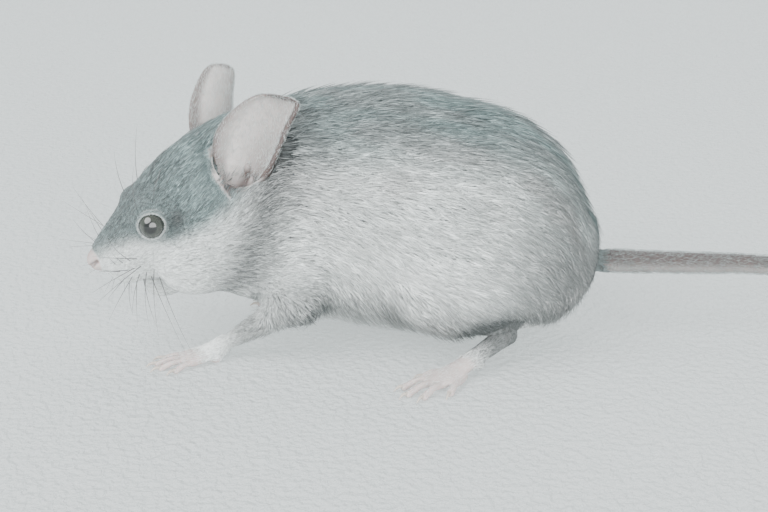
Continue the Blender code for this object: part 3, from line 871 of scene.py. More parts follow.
def ear_mesh(word):
    """Closed leaf of an ear: its front and its back, bridged round the edge."""
    bm = bmesh.new()
    for side_of_leaf in (-1, 1):
        shell = [[bm.verts.new(p * MM) for p in row] for row in ear_sheet(word, side_of_leaf)]
        for near, far in zip(shell, shell[1:]):
            for j in range(EAR_STEPS_ACROSS):
                bm.faces.new((near[j], near[j + 1], far[j + 1], far[j]))
    bmesh.ops.bridge_loops(bm, edges=[edge for edge in bm.edges if edge.is_boundary])
    bmesh.ops.recalc_face_normals(bm, faces=bm.faces)
    return finished_mesh(bm, "ear_" + word)


def ear_lobes(word):
    """Small folds in the foot of the cup, which guard the hole."""
    across, rise, facing = ear_axes(word)
    root = EAR_ROOTS[word]
    front = -SIDES[word] * across
    axes = (across, rise, facing)
    return [ball(root + rise * 3.0 + front * 0.2 - facing * 2.55, (0.55, 0.8, 0.55), axes),
            ball(root + rise * 1.2 - front * 1.9 - facing * 0.5, (0.6, 1.5, 0.5), axes)]


def ear_bowl(word):
    """Room to take out of the flesh, so that the inside of the cup is one hollow down to its floor."""
    across, rise, facing = ear_axes(word)
    sheet = ear_sheet(word, -1)
    rings = []
    first, last = (int(share * EAR_STEPS_UP) for share in CUP_SPAN)
    for row in sheet[first:last]:
        middle = (row[0] + row[-1]) / 2
        front = np.linspace(0, math.pi, 14)[1:-1]
        half = (row[-1] - row[0]) / 2
        bulge = np.linalg.norm(half) * 0.5
        closing = middle + np.outer(np.cos(front), half) + np.outer(np.sin(front) * bulge, facing)
        ring = np.vstack([row, closing])
        rings.append(ring.mean(0) + (ring - ring.mean(0)) * 1.02)
    return mesh_of_rings("bowl", rings)


ear_parts = {"ear_" + word: ear_mesh(word) for word in SIDES}
for name, mesh in ear_parts.items():
    low, high = box_mm(name)
    made = mesh_points(mesh)
    over, under = (made.max(0) - high).round(2), (low - made.min(0)).round(2)
    print(name, "stands out of its solid by, mm:", over, under)

# %% [markdown]
# ## Tail
# The tail is nearly as long as head and body, and ringed: about 160 narrow belts of scales with
# short hairs between them. A tube with a picture of rings would look painted, so each ring is a
# real step in the tube's radius, three rows of points for each: a low edge, a crown and a slope.

# %% Tail
TAIL = (  # points down the middle
    (-1.7, -0.6, 10.9),
    (-1.7, 4.4, 10.5),
    (-1.5, 14.4, 10.3),
    (-1.5, 24.4, 10.0),
    (-2.3, 34.4, 8.3),
    (-4.3, 44.4, 4.9),
    (-7.7, 53.9, 1.9),
    (-12.1, 61.4, 0.6),
    (-18.1, 67.4, 0.35),
)
TAIL_RADII = (1.55, 0.4)
RING_LENGTH = 0.46
RING_ROWS = ((0.0, -0.055), (0.25, 0.035), (0.7, 0.02))  # share of a ring, step in radius as a share
TAIL_SIDES = 18

tail_line = smooth_rows(TAIL, 200)
tail_run = np.concatenate([[0], np.cumsum(np.linalg.norm(np.diff(tail_line, axis=0), axis=1))])
TAIL_LENGTH = tail_run[-1]


def tail_at(distance):
    """Places and directions along the tail, and its radius there."""
    distance = np.asarray(distance, float)
    place = np.column_stack([np.interp(distance, tail_run, tail_line[:, k]) for k in range(3)])
    slopes = np.gradient(tail_line, axis=0)
    along = unit(np.column_stack([np.interp(distance, tail_run, slopes[:, k]) for k in range(3)]))
    taper = (1 - distance / TAIL_LENGTH) ** 0.85
    return place, along, TAIL_RADII[1] + (TAIL_RADII[0] - TAIL_RADII[1]) * taper


def tail_distance(points):
    """Distance along the tail at each point."""
    return np.interp(points[:, 1], tail_line[:, 1], tail_run)


ring_starts = np.arange(0.3, TAIL_LENGTH - 0.6, RING_LENGTH)
rows = [(start + share * RING_LENGTH, 1 + step) for start in ring_starts for share, step in RING_ROWS]
rows += [(TAIL_LENGTH - 0.3, 0.8), (TAIL_LENGTH - 0.1, 0.45)]
stations, steps = np.array(rows).T
rings = []
for place, along, radius, step in zip(*tail_at(stations), steps):
    right = unit(np.cross(along, UP))
    ring = oval_ring(place, right, np.cross(right, along), radius * step, radius * step, TAIL_SIDES)
    ring[:, 2] = np.maximum(ring[:, 2], 0.01)  # the floor flattens it
    rings.append(ring)
tail_part = mesh_of_rings("tail", rings)
print("tail:", len(ring_starts), "rings over", TAIL_LENGTH.round(1), "mm")

# %% [markdown]
# ## Join the bare parts to the body
# Ears, feet and tail are finer than the body, so a voxel remesh of everything would blur them. A
# Boolean union keeps each one's own points. All the parts are closed, so the fast Manifold solver
# can do it. The points along each join are then relaxed, so that skin flows over it.

# %% Union
def united(base, parts):
    """One closed mesh of a base and all the parts, less those called bowl."""
    obj = add_object("skin", base)
    guests = []
    for name, mesh in parts:
        guest = add_object(name, mesh)
        guests.append(guest)
        join = obj.modifiers.new(name, "BOOLEAN")
        join.operation = "DIFFERENCE" if name == "bowl" else "UNION"
        join.solver = "MANIFOLD"
        join.object = guest
    made = evaluated_mesh(obj)
    for extra in (obj, *guests):
        bpy.data.objects.remove(extra)
    return made


guests = [("bowl", ear_bowl(word)) for word in SIDES]
guests += [*foot_parts.items(), *ear_parts.items(), ("tail", tail_part)]
guests += [("lobe", mesh) for word in SIDES for mesh in ear_lobes(word)]
skin_mesh = united(body, guests)
print("joined parts:", len(guests))

# %% Clean the skin and relax its joins
def keep_largest(mesh):
    """Deletes every loose bit but the largest."""
    bm = bmesh.new()
    bm.from_mesh(mesh)
    left = set(bm.verts)
    groups = []
    while left:
        group = [left.pop()]
        for vert in group:
            for edge in vert.link_edges:
                other = edge.other_vert(vert)
                if other in left:
                    left.remove(other)
                    group.append(other)
        groups.append(group)
    groups.sort(key=len)
    loose = [vert for group in groups[:-1] for vert in group]
    bmesh.ops.delete(bm, geom=loose, context="VERTS")
    bm.to_mesh(mesh)
    bm.free()
    return len(groups) - 1


print("loose bits removed:", keep_largest(skin_mesh))
points, edges = mesh_points(skin_mesh), mesh_edges(skin_mesh)
joins = [(joint, 2.6) for joint in JOINTS.values()]
joins += [(TAIL_ROOT, 2.6)] + [(root, 4.0) for root in EAR_ROOTS.values()]
smoother = relaxed(points, edges, 10)
for place, reach in joins:
    share = 1 - ramp(gap_to(points, place), reach * 0.5, reach)
    points += (smoother - points) * share[:, None]
set_points(skin_mesh, points)
print("skin: faces", len(skin_mesh.polygons), "points", len(points))

# %% [markdown]
# ## Where each colour lies
# A house mouse is slate grey along the back, paler down the flanks and near white below, with a
# brownish haunch and bare skin on nose, feet, ears and tail. A band of painted shade darkens the fur
# behind the cheek. The same rules have to colour skin and fur, or bald patches would show. So one
# function turns a place on the skin into four shares, which both carry as an attribute: how pale, how
# brown, how dark and how bare it is. The dark share holds dark fur and painted shade alike. The
# shader groups later mix their colours by those shares.

# %% The middle line of the body
SPINE = np.array([  # points along the middle of the trunk, from the neck to the rump
    (-0.7, -43.6, 19.6),
    (-1.6, -33.6, 19.0),
    (-1.7, -21.6, 18.2),
    (-1.7, -10.6, 16.8),
    (-1.7, -2.0, 14.0),
])


def off_middle(points, line):
    """How far each point lies sideways of a line down the middle, and how far above it."""
    return (points[:, k] - np.interp(points[:, 1], line[:, 1], line[:, k]) for k in (0, 2))


def round_spine(points):
    """Angle round the spine at each point: 0 on top, 1 at the side and 2 underneath."""
    sideways, above = off_middle(points, SPINE)
    return np.arctan2(np.abs(sideways), above) / (math.pi / 2)


def swirl(points, scale, seed):
    """Smooth uneven values from -1 to 1, from a few sine waves."""
    rng = np.random.default_rng(seed)
    total = np.zeros(len(points))
    for finer in (1, 1.5, 2, 2.5, 3):
        wave = rng.normal(size=3) / scale * finer
        total += np.sin(points @ wave + rng.uniform(0, 6.3)) / finer
    return np.clip(total / 2.2, -1, 1)


print("middle line from neck to rump, mm:", np.ptp(SPINE[:, 1]))

# %% Points on the limbs
FOOT_LENGTHS = {"forefoot": 8.5, "hindfoot": 17.5}
FOOT_HEIGHT = 0.8  # of the middle of the toes


def foot_direction(name):
    """Where the toes of a foot point."""
    angle = math.radians(TURNS[name]) * SIDES[name.split("_")[1]]
    return np.array([math.sin(angle), -math.cos(angle), 0])


def limb_places(points, name):
    """How much each point belongs to the lower leg and to the foot, how far it lies ahead of the
    ankle along the foot, and the direction down the leg."""
    joint, bend, toes = JOINTS[name], np.array(BENDS[name]), foot_direction(name)
    gap, along = near_line(points, [joint, bend])
    thick = 2.0 + 2.4 * along
    leg = (1 - ramp(gap, thick, thick + 2.5)) * (1 - ramp(along, 0.45, 0.95))
    length = FOOT_LENGTHS[kind_of(name)]
    ahead = (points - joint) @ toes
    height = joint[2] + (FOOT_HEIGHT - joint[2]) * np.clip(ahead / (0.6 * length), 0, 1)
    off_line = np.abs((points - joint) @ np.cross(toes, UP))
    foot = (1 - ramp(off_line, 3.6, 5.0)) * (1 - ramp(np.abs(points[:, 2] - height), 1.8, 2.8))
    foot *= ramp(ahead, -2.6, -1.6) * (1 - ramp(ahead, length + 2, length + 3))
    return leg, foot, ahead, unit(joint - bend)


for name in JOINTS:
    print(name, "toes point", foot_direction(name).round(2))

# %% Points on the ears
EAR_TREES = {word: surface_of(ear_parts["ear_" + word]) for word in SIDES}


def on_ear(points, word, reach=0.45):
    """1 where a point lies within reach of the leaf of the ear, above its foot."""
    low, high = box_mm("ear_" + word)
    found = np.zeros(len(points))
    close = np.all((points > low - reach) & (points < high + reach), axis=1)
    for k in np.flatnonzero(close):
        found[k] = EAR_TREES[word].find_nearest(points[k])[3] < reach
    height = (points - EAR_ROOTS[word]) @ ear_axes(word)[1]
    return found * ramp(height, 0.5, 2.5)


def in_cup(points, word):
    """1 inside the cup of an ear, down to its floor."""
    across, rise, facing = ear_axes(word)
    offset = points - EAR_ROOTS[word]
    height = offset @ rise
    share = np.clip(height / EAR_LENGTH, 0, 1)
    half, curl = (np.interp(share, EAR_OUTLINE[:, 0], EAR_OUTLINE[:, k]) for k in (1, 2))
    curl = np.radians(np.minimum(curl, 90))
    radius = half / np.sin(curl)
    middle = ear_sweep(word, share)
    gap = np.hypot(offset @ across - middle, offset @ facing - radius * np.cos(curl)) / radius
    return (1 - ramp(gap, 0.85, 1.05)) * ramp(height, -4, -2.5) * (1 - ramp(height, 8, 11))


# %% Where skin is bare
BARE_FROM = {"forefoot": 0.5, "hindfoot": 4.0}  # distance ahead of the ankle where the fur ends


def bareness(points):
    """1 on the nose pad, feet, ears and tail, 0 under the fur."""
    nose = np.linalg.norm((to_head(points) - NOSE_MIDDLE) / NOSE_RADII, axis=1)
    bare = 1 - ramp(nose, 1.0, 1.2)
    for name in JOINTS:
        _, foot, ahead, _ = limb_places(points, name)
        start = BARE_FROM[kind_of(name)]
        sole = ramp(points[:, 2], 1.0, 0.3) * ramp(ahead, -2.4, -1.4)
        bare = np.maximum(bare, foot * np.maximum(ramp(ahead, start, start + 4), sole))
    bare = np.maximum(bare, ramp(points[:, 1] - TAIL_ROOT[1], 0.0, 1.4))
    for word in SIDES:
        bare = np.maximum(bare, np.maximum(on_ear(points, word), in_cup(points, word)))
    return bare


# %% Dark places and painted shade
# Painted shade in the lip groove and the nostrils: line, its width and its share of dark.
FACE_LINES = ((LIP, 0.35, 0.6), (NOSTRIL, 0.3, 0.8))  # line, its width and its share of dark
LEG_SHADES = {"forefoot": (1.0, 0.42), "hindfoot": (6.5, 0.8)}  # where it ends, share of dark


def painted_face_shade(points):
    """Painted shade in the groove of the lips, in the nostrils and behind the eyes."""
    head_points = to_head(points)
    _, back, up = head_points.T
    near = head_share(points) > 0.5
    level = hump(up, 1.5, EYES_UP - 0.7)
    dark = np.zeros(len(points))
    for word, side in SIDES.items():
        for line, width, share in FACE_LINES:
            gap, _ = near_line(head_points[near], np.array(line) * (side, 1, 1))
            dark[near] += share * hump(gap, width)
        # Painted shade behind each eye.
        ring = hump(gap_to(points, EYES[word]), 1.2, 3.3)
        dark += 0.75 * ring * ramp(back - EYES_BACK, 0.0, 2.0) * level
    return dark


def dark_of_ear(points, word):
    """Shade in the foot of the cup and behind its front rim, and a dusky edge round the leaf."""
    across, rise, _ = ear_axes(word)
    offset = points - EAR_ROOTS[word]
    forwards, height = offset @ across * -SIDES[word], offset @ rise
    cup = in_cup(points, word)
    dark = 0.75 * cup * hump(height, 1.6, 1.0) * hump(forwards, 1.0, -0.3)
    dark += 0.35 * cup * hump(height, 3.0, 1.5)
    share = height / EAR_LENGTH
    half = np.interp(share, *EAR_OUTLINE[:, :2].T)
    middle = ear_sweep(word, np.clip(share, 0, 1)) * -SIDES[word]
    rim = ramp(np.abs(forwards - middle) / half, 0.72, 0.95) * ramp(height, 1.5, 4)
    rim = np.maximum(rim, ramp(share, 0.94, 0.99))
    return dark + 0.75 * rim * on_ear(points, word)


def dark_of_legs(points):
    """Darker lower legs and tops of the feet, and painted shade round the elbows."""
    dark = np.zeros(len(points))
    for name in JOINTS:
        leg, foot, ahead, _ = limb_places(points, name)
        reach, share = LEG_SHADES[kind_of(name)]
        leg = leg**3 * ramp(points[:, 2], 9.0, 6.0)
        dark += share * np.maximum(leg, foot) * (1 - foot * ramp(ahead, reach - 4, reach))
        # Painted shade round the elbow.
        if kind_of(name) == "forefoot":
            dark += 0.55 * hump(gap_to(points, BENDS[name]), 4.4)
    return dark


# %% Shares of pale, brown, dark and bare
# On the head the pale colour starts under a line from the nose, below the eye, to the ear:
# distance back, height.
PALE_LINE = np.array([(0, 1.8), (3.5, 2.5), (7, 2.4), (9, 1.2), (11, 0.1), (13, 0.2), (15.5, 0.7),
                      (19.5, 1.6), (23, 3.2), (27, 3.0)])
# A band of painted shade behind the cheek: how far back it lies, its lean and its width.
CHEEK_SHADE_BACK = 23.8
CHEEK_SHADE_LEAN = 0.9  # how far back it lies for each millimetre up
CHEEK_SHADE_WIDTH = 3.4
NAPE = EAR_ROOTS["left"] + (-4.0, 9.0, 2.0)


def markings(points):
    """Shares from 0 to 1 at each point: pale, brown, dark, bare."""
    side, back, up = to_head(points).T
    head = head_share(points)
    uneven = swirl(points, 5.0, 4)
    around = round_spine(points) + 0.06 * uneven
    rump = ramp(points[:, 1], -15, -3)
    tail_foot = ramp(points[:, 1] - TAIL_ROOT[1], -1.4, 0.4)
    nape = hump(gap_to(points, NAPE), 6.5)
    # Painted shade runs down behind the cheek, where the head meets the neck.
    cheek_shade = hump(back - CHEEK_SHADE_LEAN * up, CHEEK_SHADE_WIDTH, CHEEK_SHADE_BACK) * ramp(np.abs(side), 3, 6)
    cheek_shade *= ramp(up, -13, -9.5)

    body_pale = 0.88 * ramp(around, 0.22, 0.72) + 0.12 * ramp(around, 0.8, 1.2)
    body_pale *= 1 - 0.4 * rump * (1 - ramp(around, 1.2, 1.6))
    line = np.interp(back, *PALE_LINE.T)
    head_pale = 0.9 * ramp(up + 0.5 * uneven, line + 0.9, line - 2.0)
    pale = body_pale + (head_pale - body_pale) * head
    pale *= 1 - 0.35 * cheek_shade
    for word in SIDES:  # a thin pale ring round the eye
        pale += (0.85 - pale) * hump(gap_to(points, EYES[word]), 0.14, 2.0)
    pale *= 1 - 0.9 * tail_foot

    streaks = ramp(swirl(points * (1, 0.3, 1), 2.4, 12), -0.05, 0.6)
    brown = 0.4 * rump * ramp(around, 0.4, 1.1) * (1 - ramp(around, 1.4, 1.7)) + 0.25 * cheek_shade
    brown += 0.3 * streaks * (1 - ramp(around, 0.75, 1.1)) * (1 - head) + 0.55 * nape

    crown = 1 - 0.45 * ramp(np.abs(side), 3.5, 6.5)
    dark = head * (1 - head_pale) * (0.1 + 0.44 * ramp(back, 18, 10)) * crown
    dark += 0.44 * cheek_shade + 0.08 * rump * ramp(around, 0.2, 0.8) + 0.26 * nape + 0.5 * tail_foot
    dark += painted_face_shade(points) + dark_of_legs(points)
    dark += sum(dark_of_ear(points, word) for word in SIDES)
    return np.clip(np.column_stack([pale, brown, dark, bareness(points)]), 0, 1)


marks = markings(mesh_points(skin_mesh))
print("mean shares of pale, brown, dark, bare:", marks.mean(0).round(2))

# %% [markdown]
# ## Colour groups
# Hair and skin share one shader group for the coat's colours, so that they can't drift apart. It
# mixes slate, pale, brown and dusky by the shares; dusky stands for dark fur and for painted shade
# alike. It then makes each strand a little lighter or darker, and lighter towards its tip, which is
# the hair's own banding together with painted shade deep in the coat at the root. A second group
# makes the grain of bare skin: a fine net of creases over soft blotches. Groups give colours and
# heights only; the shaders stay outside them.

# %% Group tools
def new_group(name, inputs, outputs):
    """A shader node group. Inputs are pairs of name and default value, outputs of name and kind."""
    group = bpy.data.node_groups.new(name, "ShaderNodeTree")
    for socket, value in inputs:
        kind = "NodeSocketFloat" if isinstance(value, float) else "NodeSocketColor"
        made = group.interface.new_socket(socket, in_out="INPUT", socket_type=kind)
        made.default_value = value
    for socket, kind in outputs:
        group.interface.new_socket(socket, in_out="OUTPUT", socket_type=kind)
    return group, group.nodes.new("NodeGroupInput").outputs, group.nodes.new("NodeGroupOutput").inputs


def feed(tree, target, value):
    """Links a socket into the target, or sets the target's own value."""
    if isinstance(value, bpy.types.NodeSocket):
        tree.links.new(value, target)
    else:
        target.default_value = value


def mixed(tree, share, first, second, blend="MIX"):
    """Colour of a Mix node. Each input is a socket or a plain value."""
    node = tree.nodes.new("ShaderNodeMix")
    node.data_type = "RGBA"
    node.blend_type = blend
    for socket, value in (("Factor", share), (6, first), (7, second)):
        feed(tree, node.inputs[socket], value)
    return node.outputs[2]


def maths(tree, operation, *values, clamp=False):
    """Result of a Math node."""
    node = tree.nodes.new("ShaderNodeMath")
    node.operation = operation
    node.use_clamp = clamp
    for target, value in zip(node.inputs, values):
        feed(tree, target, value)
    return node.outputs[0]


def split(tree, socket):
    """The three parts of a vector or colour."""
    node = tree.nodes.new("ShaderNodeSeparateXYZ")
    tree.links.new(socket, node.inputs[0])
    return node.outputs


# %% Coat colour group
SLATE = (0.255, 0.335, 0.335, 1)
PALE = (0.92, 0.945, 0.935, 1)
BROWN = (0.35, 0.3, 0.3, 1)
# Dusky is the colour of dark fur and of painted shade alike.
DUSKY_AND_SHADE = (0.10, 0.11, 0.11, 1)

coat_group, given, result = new_group(
    "Coat colour",
    [("Shares", (0.0, 0.0, 0.0, 1.0)), ("Along", 0.5), ("Strand", 0.5), ("Slate", SLATE),
     ("Pale", PALE), ("Brown", BROWN), ("Dusky and shade", DUSKY_AND_SHADE), ("Contrast", 1.15)],
    [("Colour", "NodeSocketColor")],
)
pale, brown, dusky = split(coat_group, given["Shares"])[:3]
colour = mixed(coat_group, pale, given["Slate"], given["Pale"])
colour = mixed(coat_group, brown, colour, given["Brown"])
colour = mixed(coat_group, dusky, colour, given["Dusky and shade"])
# Pale hairs differ less from each other than slate ones do.
spread = maths(coat_group, "MULTIPLY_ADD", pale, -0.75, 1.0)
spread = maths(coat_group, "MULTIPLY", spread, given["Contrast"])
offset = maths(coat_group, "SUBTRACT", given["Strand"], 0.45)
light = maths(coat_group, "MULTIPLY_ADD", offset, spread, 1.0)
# Darker at the root, lighter at the tip: the hair's own banding, with painted shade deep in the coat.
tip = maths(coat_group, "MULTIPLY_ADD", given["Along"], 0.24, 0.86)
light = maths(coat_group, "MULTIPLY", light, tip)
colour = mixed(coat_group, 1.0, colour, light, "MULTIPLY")
link_nodes(coat_group, (colour, result["Colour"]))
print(coat_group.name, "nodes:", len(coat_group.nodes))

# %% Bare skin group
PINK = (0.59, 0.51, 0.49, 1)
EAR_COLOUR = (0.62, 0.58, 0.56, 1)
TAIL_ABOVE = (0.065, 0.05, 0.047, 1)
TAIL_BELOW = (0.66, 0.62, 0.6, 1)
SKIN_SHADE = (0.1, 0.075, 0.07, 1)
BLOTCH_SCALE, CREASE_SCALE, PORE_SCALE = 900.0, 5200.0, 2200.0

skin_group, given, result = new_group(
    "Bare skin",
    [("Places", (0.0, 0.0, 0.0, 1.0)), ("Pink", PINK), ("Ear", EAR_COLOUR), ("Tail above", TAIL_ABOVE),
     ("Tail below", TAIL_BELOW), ("Blotches", 0.3), ("Shade", 0.0)],
    [("Colour", "NodeSocketColor"), ("Height", "NodeSocketFloat")],
)
ear, tail, top = split(skin_group, given["Places"])[:3]
tail_colour = mixed(skin_group, top, given["Tail below"], given["Tail above"])
colour = mixed(skin_group, ear, given["Pink"], given["Ear"])
colour = mixed(skin_group, tail, colour, tail_colour)
blotch = maths(skin_group, "SUBTRACT", noise(skin_group, BLOTCH_SCALE, 4.0), 0.5)
blotch = maths(skin_group, "MULTIPLY_ADD", blotch, given["Blotches"], 1.0)
colour = mixed(skin_group, 1.0, colour, blotch, "MULTIPLY")
colour = mixed(skin_group, given["Shade"], colour, SKIN_SHADE)
crease = skin_group.nodes.new("ShaderNodeTexVoronoi")
crease.feature = "DISTANCE_TO_EDGE"
crease.inputs["Scale"].default_value = CREASE_SCALE
link_nodes(skin_group, (own_space(skin_group), crease.inputs["Vector"]))
height = maths(skin_group, "MULTIPLY", crease.outputs["Distance"], 2.2, clamp=True)
height = maths(skin_group, "ADD", height, noise(skin_group, PORE_SCALE))
link_nodes(skin_group, (colour, result["Colour"]), (height, result["Height"]))
print(skin_group.name, "nodes:", len(skin_group.nodes))

# %% Put groups and attributes into a material
def place_group(tree, group, **values):
    """Puts a group into a material. Values are sockets or plain values, by input name."""
    node = tree.nodes.new("ShaderNodeGroup")
    node.node_tree = group
    for name, value in values.items():
        feed(tree, node.inputs[name.replace("_", " ")], value)
    return node.outputs


def attribute(tree, name):
    """Outputs of a node that reads what the mesh carries under a name."""
    node = tree.nodes.new("ShaderNodeAttribute")
    node.attribute_name = name
    return node.outputs


# %% Skin material
CREASE_DEPTH = 0.00003

skin_finish, tree, shader = new_material("mouse skin", Subsurface_Weight=0.08, Subsurface_Scale=0.001)
shares = attribute(tree, "shares")
uneven = noise(tree, 2500.0, 2.0)
# The skin under the fur takes the colour of the hair roots, painted shade included.
under_fur = place_group(tree, coat_group, Shares=shares["Color"], Along=0.0, Strand=uneven,
                        Contrast=0.8)["Colour"]
shade = split(tree, shares["Color"])[2]
bare_skin = place_group(tree, skin_group, Places=attribute(tree, "places")["Color"], Shade=shade)
bare = shares["Alpha"]
rough = maths(tree, "MULTIPLY_ADD", bare, -0.34, 0.88)
link_nodes(tree, (mixed(tree, bare, under_fur, bare_skin["Colour"]), shader.inputs["Base Color"]),
           (bumped(tree, bare_skin["Height"], CREASE_DEPTH, 0.6), shader.inputs["Normal"]),
           (rough, shader.inputs["Roughness"]))
print("material:", skin_finish.name)

# %% Coat material
coat_finish, tree, shader = new_material("mouse coat", Roughness=0.55, Specular_IOR_Level=0.35)
strand = split(tree, attribute(tree, "strand")["Vector"])
fur = place_group(tree, coat_group, Shares=attribute(tree, "shares")["Color"], Along=strand[0],
                  Strand=strand[1])
link_nodes(tree, (fur["Colour"], shader.inputs["Base Color"]))
print("material:", coat_finish.name)

# %% The skin as a piece of the mouse
FIELDS = {"FLOAT": "value", "FLOAT_VECTOR": "vector", "FLOAT_COLOR": "color"}


def write_attribute(mesh, name, kind, values):
    """Gives each point of a mesh a number, or a row of three or four."""
    layer = mesh.attributes.new(name, kind, "POINT")
    layer.data.foreach_set(FIELDS[kind], np.asarray(values, np.float32).ravel())


def bare_places(points):
    """Where bare skin is ear, where it is tail, and how far up the tail's side."""
    ear = sum(np.maximum(on_ear(points, word), in_cup(points, word)) for word in SIDES)
    tail = ramp(points[:, 1] - TAIL_ROOT[1], -2.0, -0.5)
    middle = np.interp(points[:, 1], tail_line[:, 1], tail_line[:, 2])
    top = ramp((points[:, 2] - middle) / tail_at(tail_distance(points))[2], -0.4, 0.3)
    return np.column_stack([np.clip(ear, 0, 1), tail, top, np.ones(len(points))])


write_attribute(skin_mesh, "shares", "FLOAT_COLOR", marks)
write_attribute(skin_mesh, "places", "FLOAT_COLOR", bare_places(mesh_points(skin_mesh)))
skin_mesh.materials.clear()
skin_mesh.materials.append(skin_finish)
skin_mesh.polygons.foreach_set("material_index", np.zeros(len(skin_mesh.polygons), np.int32))
skin_mesh.shade_smooth()
skin = add_object("skin", skin_mesh)
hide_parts("head", "nose", "lower_jaw", "neck", "trunk", "tail_root", "tail_middle", "tail_tip")
for word in SIDES:
    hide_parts(*(part + word for part in ("ear_", "foreleg_", "hindleg_", "forefoot_", "hindfoot_")))
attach(skin, "root")

# %% [markdown]
# ## Eyes
# A mouse's eye is a dark glossy bead. The iris is a very dark olive brown and hardly shows round
# the pupil, but without it the eye looks like plastic. The ball has the solid's size, less a hair's
# breadth, and a cornea that swells a little in front. A radial attribute drives the iris, so no
# texture map is needed, and a clear coat gives the sharp highlight.

# %% Eyes
CORNEA_SWELL = 0.07
PUPIL = math.radians(24)
IRIS = math.radians(52)
PUPIL_SHARE = 0.4  # value of from_pupil at the pupil's edge; it is 1 at the iris's edge
EDGE_SHARPNESS = 9.0
IRIS_COLOURS = (0.016, 0.018, 0.014, 1), (0.045, 0.05, 0.04, 1)
IRIS_EDGE_COLOUR = (0.006, 0.006, 0.005, 1)
PUPIL_COLOUR = (0.002, 0.002, 0.002, 1)

eye_finish, tree, shader = new_material("eye", Roughness=0.12, Coat_Weight=1.0, Coat_Roughness=0.02)
share = attribute(tree, "from_pupil")["Fac"]
fibres = noise(tree, 5000.0, 4.0)
iris = mixed(tree, fibres, *IRIS_COLOURS)
inside = maths(tree, "MULTIPLY_ADD", share, -EDGE_SHARPNESS, EDGE_SHARPNESS + 0.6, clamp=True)
iris = mixed(tree, inside, IRIS_EDGE_COLOUR, iris)
outside = maths(tree, "MULTIPLY_ADD", share, EDGE_SHARPNESS, -EDGE_SHARPNESS * PUPIL_SHARE, clamp=True)
link_nodes(tree, (mixed(tree, outside, PUPIL_COLOUR, iris), shader.inputs["Base Color"]))

for word in SIDES:
    mesh = ball(EYES[word], (EYE_RADIUS - 0.03,) * 3, detail=5)
    points = mesh_points(mesh)
    facing = EYE_FACING[word]
    lean = np.arccos(np.clip(unit(points - EYES[word]) @ facing, -1, 1))
    points += np.outer(CORNEA_SWELL * (1 - ramp(lean, 0.35, IRIS * 1.1)), facing)
    set_points(mesh, points)
    write_attribute(mesh, "from_pupil", "FLOAT", np.interp(lean, (PUPIL, IRIS), (PUPIL_SHARE, 1.0)))
    mesh.shade_smooth()
    mesh.materials.append(eye_finish)
    eye = add_object("eye_bead_" + word, mesh)
    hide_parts("eye_" + word)
    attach(eye, "root")
    print(eye.name, "faces", len(mesh.polygons))

# %% [markdown]
# ## Claws and whiskers
# Claws are thin hooks of faintly grained horn, and whiskers are stiff tapered hairs in rows on the
# muzzle, with two over each eye. Curves with a bevel could make both, but a tapered tube mesh
# exports as it is. Each whisker leaves its swelling at a slant, bows back and sags a little, and
# the rear ones are the longest.

# %% Claws
HORN_COLOURS = (0.42, 0.37, 0.33, 1), (0.62, 0.56, 0.5, 1)

claw_finish, tree, shader = new_material("claw horn", Roughness=0.35)
horn = mixed(tree, noise(tree, 3000.0, 2.0), *HORN_COLOURS)
link_nodes(tree, (horn, shader.inputs["Base Color"]))


def joined_piece(name, meshes, finish):
    """One smooth object from several meshes."""
    made = joined(name, meshes)
    made.shade_smooth()
    made.materials.append(finish)
    return add_object(name, made)


for name, claws in claw_parts.items():
    piece = joined_piece("claws_" + name, claws, claw_finish)
    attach(piece, "root")
    print(piece.name, len(claws))

# %% Whiskers
WHISKER_RADII = (0.055, 0.012)
WHISKER_COLOURS = (0.05, 0.05, 0.05, 1), (0.22, 0.22, 0.22, 1)  # at the root and at the tip
# Hairs over the left eye, in the head's frame: a place over the root, direction.
BROW_HAIRS = (((4.2, 9.0, 9), (0.5, 0.1, 1.0)), ((4.6, 11.2, 9), (0.6, 0.4, 1.0)))

whisker_finish, tree, shader = new_material("whisker", Roughness=0.3)
grey = mixed(tree, attribute(tree, "strand_share")["Fac"], *WHISKER_COLOURS)
link_nodes(tree, (grey, shader.inputs["Base Color"]))


def whisker(root, direction, length, sag, bow):
    """Tapered hair that bows sideways and sags."""
    t = np.linspace(0, 1, 9)[:, None]
    line = root - direction * 0.3 + direction * t * length
    line += (bow - UP * sag) * length * t**2
    line[:, 2] = np.maximum(line[:, 2], 0.2)
    radii = WHISKER_RADII[0] + (WHISKER_RADII[1] - WHISKER_RADII[0]) * t[:, 0]
    mesh = tube(line, radii, sides=5, steps=12)
    along = (mesh_points(mesh) - root) @ direction / length
    write_attribute(mesh, "strand_share", "FLOAT", np.clip(along, 0, 1))
    return mesh


